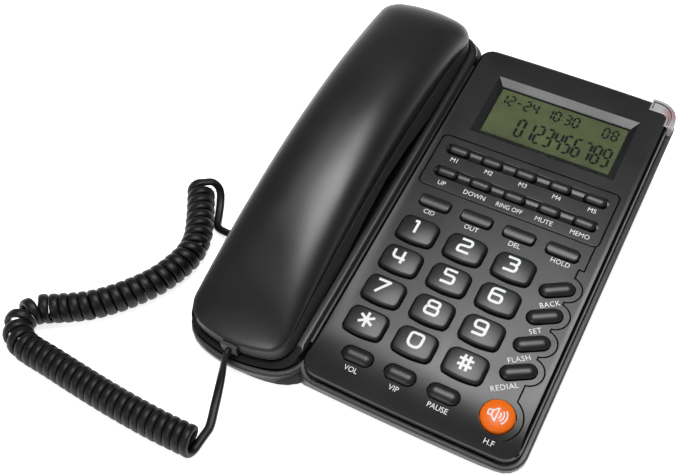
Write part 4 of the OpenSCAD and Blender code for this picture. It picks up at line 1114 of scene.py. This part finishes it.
class TELEPHONE_OT_cord(bpy.types.Operator):
    """Winds the curly cord from the handset to the base"""
    bl_idname = "telephone.cord"
    bl_label = "Curly cord"

    # The coil: height of its middle, pitch and outer radius of the curls, and rings in each
    COIL_Z, CURL_PITCH, CURL_R, RINGS = 7.0, 3.9, 6.8, 18
    # How much the curls spread where their line bends, and the bend past which they spread no more
    SPREAD, MOST_BEND = 3.6, 0.13
    # The widest that the flat cord lies, and the room that it leaves beside the next curl
    WIDEST, ROOM = 4.5, 0.04
    # Straight stretch at each end of a lead, and the longer one before the first curl
    STRAIGHT, APPROACH = 3.2, 8.4
    # Where the cord leaves its plug, in front of the handset's end and over the panel's plane
    PLUG_V, PLUG_N = 2.0, 0.3
    # Points round the cord's section, and how round its edges are
    SECTION, ROUND = 14, 0.8

    def turns(self, line, along):
        """Degrees that the cord has turned at each point of its line, and the number of curls."""
        steps = [(b - a).length for a, b in zip(line, line[1:])]
        turned, gone, total = [0.0], 0.0, sum(steps)
        for i, step in enumerate(steps):
            pitch = self.CURL_PITCH * between(gone / total, LOOSE)
            gone += step
            a, b = along[max(i - 1, 0)], along[i + 1]
            bend = min(abs(a.x * b.y - a.y * b.x) / (2 * step), self.MOST_BEND)
            turned.append(turned[-1] + step * 360 * (1 - self.SPREAD * bend) / pitch)
        count = math.floor(turned[-1] / 360) + 0.5
        scale = count * 360 / turned[-1]
        return [g * scale for g in turned], count

    def curls(self, radius):
        """Middles of the curls' rings, their outward directions, and the way out of the last curl."""
        line = spline([on_desk(u, y, 0) for u, y in COIL_RUN], 8)
        along = tangents(line)
        turned, count = self.turns(line, along)
        middles, outward, i = [], [], 0
        for q in range(int(count * self.RINGS) + 1):
            g = q * 360 / self.RINGS
            while i < len(turned) - 2 and turned[i + 1] < g:
                i += 1
            t = min(1.0, (g - turned[i]) / (turned[i + 1] - turned[i]))
            centre = line[i].lerp(line[i + 1], t)
            heading = along[i].lerp(along[i + 1], t).normalized()
            angle = math.radians(-90 - g)
            out = Vector((heading.y, -heading.x, 0)) * math.cos(angle) + Vector((0, 0, math.sin(angle)))
            middles.append(centre + Vector((0, 0, self.COIL_Z)) + radius * out)
            outward.append(out)
        leave = Vector((along[-1].y, -along[-1].x, 0)).normalized()
        return middles, outward, leave

    def widths(self, middles, thick):
        """How wide the flat cord lies at each ring: a curl fills the room between its neighbours."""
        rooms = [(b - a).length for a, b in zip(middles, middles[self.RINGS:])]
        for i in range(len(middles)):
            beside = [rooms[j] for j in (i, i - self.RINGS) if 0 <= j < len(rooms)]
            yield max(thick, min(self.WIDEST, min(beside) - self.ROOM))

    def lead(self, run, passes=10):
        """A smooth line along a run, with its bends eased and its ends kept."""
        line = spline(run, 6)
        for _ in range(passes):
            eased = [(a + 2 * b + c) / 4 for a, b, c in zip(line, line[1:], line[2:])]
            line = [line[0], *eased, line[-1]]
        return line

    def handset_lead(self, first):
        """From the handset's plug to the first curl, without that curl's first point."""
        plug = Vector((HANDSET_U, HANDSET_V - HANDSET_L / 2 - self.PLUG_V, self.PLUG_N))
        plug = (PANEL @ Matrix.Translation(plug * MM)).translation / MM
        forward = -(PANEL.to_3x3() @ Vector((0, 1, 0)))
        return self.lead([plug, plug + forward * self.STRAIGHT] + [on_desk(*p) for p in HANDSET_RUN] + [
            first + Vector((0, self.APPROACH, 0)), first + Vector((0, self.STRAIGHT, 0)), first])[:-1]

    def base_lead(self, last, leave):
        """From the last curl to the base's plug, without that curl's last point."""
        low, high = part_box("base_plug")
        plug = Vector((low.x / MM, (low.y + high.y) / 2 / MM, (low.z + high.z) / 2 / MM))
        return self.lead([last, last + leave * self.STRAIGHT, last + leave * 2 * self.STRAIGHT]
                         + [on_desk(*p) for p in BASE_RUN]
                         + [plug - Vector((self.STRAIGHT, 0, 0)), plug])[1:]

    def tube(self, path, flat, broad, thick):
        """A closed tube along the path, flattened towards the flat directions."""
        sides = self.SECTION
        points, faces = [], []
        for centre, ahead, up, width in zip(path, tangents(path), flat, broad):
            across = ahead.cross(up).normalized()
            up = across.cross(ahead)
            for j in range(sides):
                c, s = math.cos(2 * math.pi * j / sides), math.sin(2 * math.pi * j / sides)
                c, s = (math.copysign(abs(x) ** self.ROUND, x) for x in (c, s))
                points.append((centre + up * c * thick / 2 + across * s * width / 2) * MM)
        last = (len(path) - 1) * sides
        for i in range(0, last, sides):
            for j in range(sides):
                a, b = i + j, i + (j + 1) % sides
                faces.append((a, b, b + sides, a + sides))
        faces += [tuple(range(sides))[::-1], tuple(range(last, last + sides))]
        mesh = bpy.data.meshes.new("cord_curly")
        mesh.from_pydata(points, [], faces)
        cord = linked("cord_curly", mesh)
        whole(cord)
        bpy.ops.mesh.normals_make_consistent(inside=False)
        done()
        smooth(cord, 60, False)
        return cord

    def execute(self, context):
        size = sizes()
        wide, thick = size.cord_w / MM, size.cord_t / MM
        middles, outward, leave = self.curls(self.CURL_R - thick / 2)
        start, end = self.handset_lead(middles[0]), self.base_lead(middles[-1], leave)
        path = start + middles + end
        broad = [wide] * len(start) + list(self.widths(middles, thick)) + [wide] * len(end)
        flat = []
        for i in range(len(start)):
            # The flat cord leaves the plug on edge and turns flat on its way to the table
            turn = math.radians(90) * min(1.0, i / (len(start) * 0.45))
            flat.append(Vector((math.cos(turn), 0, -math.sin(turn))))
        flat += outward + [Vector((0, 0, 1))] * len(end)
        cord = self.tube(path, flat, broad, thick)
        dress(cord, moulded("cord_jacket", colours().cord, 0.44, 0.0006, 0.00002, 0.15,
                            strength=0.4, shine=0.36))
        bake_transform(cord)
        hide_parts("handset_lead", "curly_cord", "base_lead")
        line = [p * MM for p in path]
        tuple(line[0])
        [tuple(p) for p in line]
        return {"FINISHED"}


# Small fittings and what lies inside

class TELEPHONE_OT_fittings(bpy.types.Operator):
    """Gives the fittings and the inner parts their finishes"""
    bl_idname = "telephone.fittings"
    bl_label = "Fittings"

    def execute(self, context):
        black = moulded("fitting_black", (0.012, 0.012, 0.013), 0.4, 0.0005, 0.00002, 0.15)
        rubber = moulded("foot_rubber", (0.010, 0.010, 0.010), 0.75, 0.0006, 0.00006, 0.25)
        steel = metal("plain_steel", (0.55, 0.55, 0.56), 0.35, 0.0005)
        board = moulded("board_green", (0.012, 0.10, 0.035), 0.35, 0.0015, 0.00001, 0.25, coat=0.3)
        mat = moulded("mat_grey", (0.42, 0.44, 0.45), 0.6, 0.0008, 0.00002, 0.08)
        grey = moulded("speaker_grey", (0.10, 0.105, 0.11), 0.45, 0.0007, 0.00003, 0.15)
        finishes = {"line_jack": black, "base_jack": black, "hook_plunger": black, "hook_switch": black,
                    "rubber_feet": rubber, "housing_screws": steel, "handset_screws": steel,
                    "hook_spring": steel, "main_board": board, "key_mat": mat, "loudspeaker": grey,
                    "receiver": grey, "handset_plug": black, "base_plug": black,
                    "microphone": metal("microphone_can", (0.50, 0.50, 0.49), 0.3, 0.0006)}
        for node, finish in finishes.items():
            dress(NODES[node], finish)
        return {"FINISHED"}


# Stage

class TELEPHONE_OT_stage(bpy.types.Operator):
    """Sets up the floor, the studio light and the camera"""
    bl_idname = "telephone.stage"
    bl_label = "Stage"

    # Strength of the room's light at the horizon and overhead, and of the floor's own glow
    ROOM_LOW, ROOM_HIGH, FLOOR_GLOW = 0.65, 0.18, 0.80
    # The camera: its place, its ways to the right and backwards, and its lens
    CAMERA_AT, LENS = (0.10785, -0.30178, 0.3776), 54.75
    RIGHT, BACK = Vector((0.8821, 0.4711, 0)), Vector((0.3071, -0.5749, 0.7584))

    def lamp(self, name, place, size, power, aim=(0, 0, 0.02)):
        data = bpy.data.lights.new(name, "AREA")
        data.shape = "RECTANGLE"
        data.size, data.size_y = size
        data.energy = power
        made = linked(name, data)
        made.location = place
        made.rotation_euler = (Vector(aim) - Vector(place)).to_track_quat("-Z", "Y").to_euler()

    def floor(self):
        """A pale floor that looks white, keeps the shadow and throws no light of its own."""
        bpy.ops.object.select_all(action="DESELECT")
        bpy.ops.mesh.primitive_plane_add(size=8)
        floor = named(bpy.context.object, "floor")
        made, tree = blank("floor_pale")
        rays = add(tree, "LightPath").outputs
        seen = rays["Is Camera Ray"]
        for kind in ("Is Glossy Ray", "Is Transmission Ray"):
            seen = add(tree, "Math", {0: seen, 1: rays[kind]}, operation="MAXIMUM")
        pale = add(tree, "BsdfDiffuse", {"Color": (*colours().floor, 1)})
        glow = add(tree, "Emission", {"Color": (1, 1, 1, 1), "Strength": self.FLOOR_GLOW})
        lit = add(tree, "AddShader", {0: pale, 1: glow})
        close(tree, add(tree, "MixShader", {0: seen, 1: pale, 2: lit}))
        dress(floor, made)

    def room(self, scene):
        """A soft room round the object, white where the camera sees it."""
        scene.world = bpy.data.worlds.new("studio")
        scene.world.use_nodes = True
        tree = scene.world.node_tree
        tree.nodes.clear()
        seen = add(tree, "LightPath").outputs["Is Camera Ray"]
        way = add(tree, "TexCoord").outputs["Generated"]
        height = add(tree, "SeparateXYZ", {0: way}).outputs["Z"]
        level = add(tree, "MapRange", {
            "Value": height, "From Min": 0.0, "From Max": 0.5,
            "To Min": self.ROOM_LOW, "To Max": self.ROOM_HIGH})
        soft = add(tree, "Background", {"Color": (0.95, 0.97, 1.0, 1), "Strength": level})
        white = add(tree, "Background", {"Color": (1, 1, 1, 1), "Strength": 1.0})
        mix = add(tree, "MixShader", {0: seen, 1: soft, 2: white})
        add(tree, "OutputWorld", {"Surface": mix})

    def camera(self, scene):
        data = bpy.data.cameras.new("camera")
        data.sensor_width = 36
        data.lens = self.LENS
        right, back = self.RIGHT.normalized(), self.BACK.normalized()
        turn = Matrix((right, back.cross(right), back)).transposed().to_4x4()
        scene.camera = linked("camera", data)
        scene.camera.matrix_world = Matrix.Translation(self.CAMERA_AT) @ turn

    def execute(self, context):
        context.scene.view_settings.view_transform = "Standard"
        self.floor()
        self.room(context.scene)
        self.lamp("top_softbox", (-0.02, 0.015, 0.80), (0.40, 0.40), 4.6)
        self.lamp("front_softbox", (-0.2, -1.25, 0.90), (0.6, 0.3), 3.5)
        self.camera(context.scene)
        return {"FINISHED"}


OPERATORS = [TELEPHONE_OT_stage, TELEPHONE_OT_cord, TELEPHONE_OT_housing, TELEPHONE_OT_cover,
             TELEPHONE_OT_number_keys, TELEPHONE_OT_small_keys, TELEPHONE_OT_hands_free_key,
             TELEPHONE_OT_words, TELEPHONE_OT_display, TELEPHONE_OT_lamp, TELEPHONE_OT_handset,
             TELEPHONE_OT_fittings]


class TELEPHONE_PT_panel(bpy.types.Panel):
    """Lists the pieces of the telephone"""
    bl_idname = "TELEPHONE_PT_panel"
    bl_label = "Desk telephone"
    bl_space_type = "VIEW_3D"
    bl_region_type = "UI"
    bl_category = "Telephone"

    def draw(self, context):
        for operator in OPERATORS:
            self.layout.operator(operator.bl_idname)


CLASSES = [TelephoneSizes, TelephoneColours, *OPERATORS, TELEPHONE_PT_panel]


def register():
    for kind in CLASSES:
        bpy.utils.register_class(kind)
    bpy.types.Scene.telephone_sizes = bpy.props.PointerProperty(type=TelephoneSizes)
    bpy.types.Scene.telephone_colours = bpy.props.PointerProperty(type=TelephoneColours)


def unregister():
    del bpy.types.Scene.telephone_colours
    del bpy.types.Scene.telephone_sizes
    for kind in reversed(CLASSES):
        bpy.utils.unregister_class(kind)


def main():
    register()
    for operator in OPERATORS:
        group, name = operator.bl_idname.split(".")
        getattr(getattr(bpy.ops, group), name)()


if __name__ == "__main__":
    main()
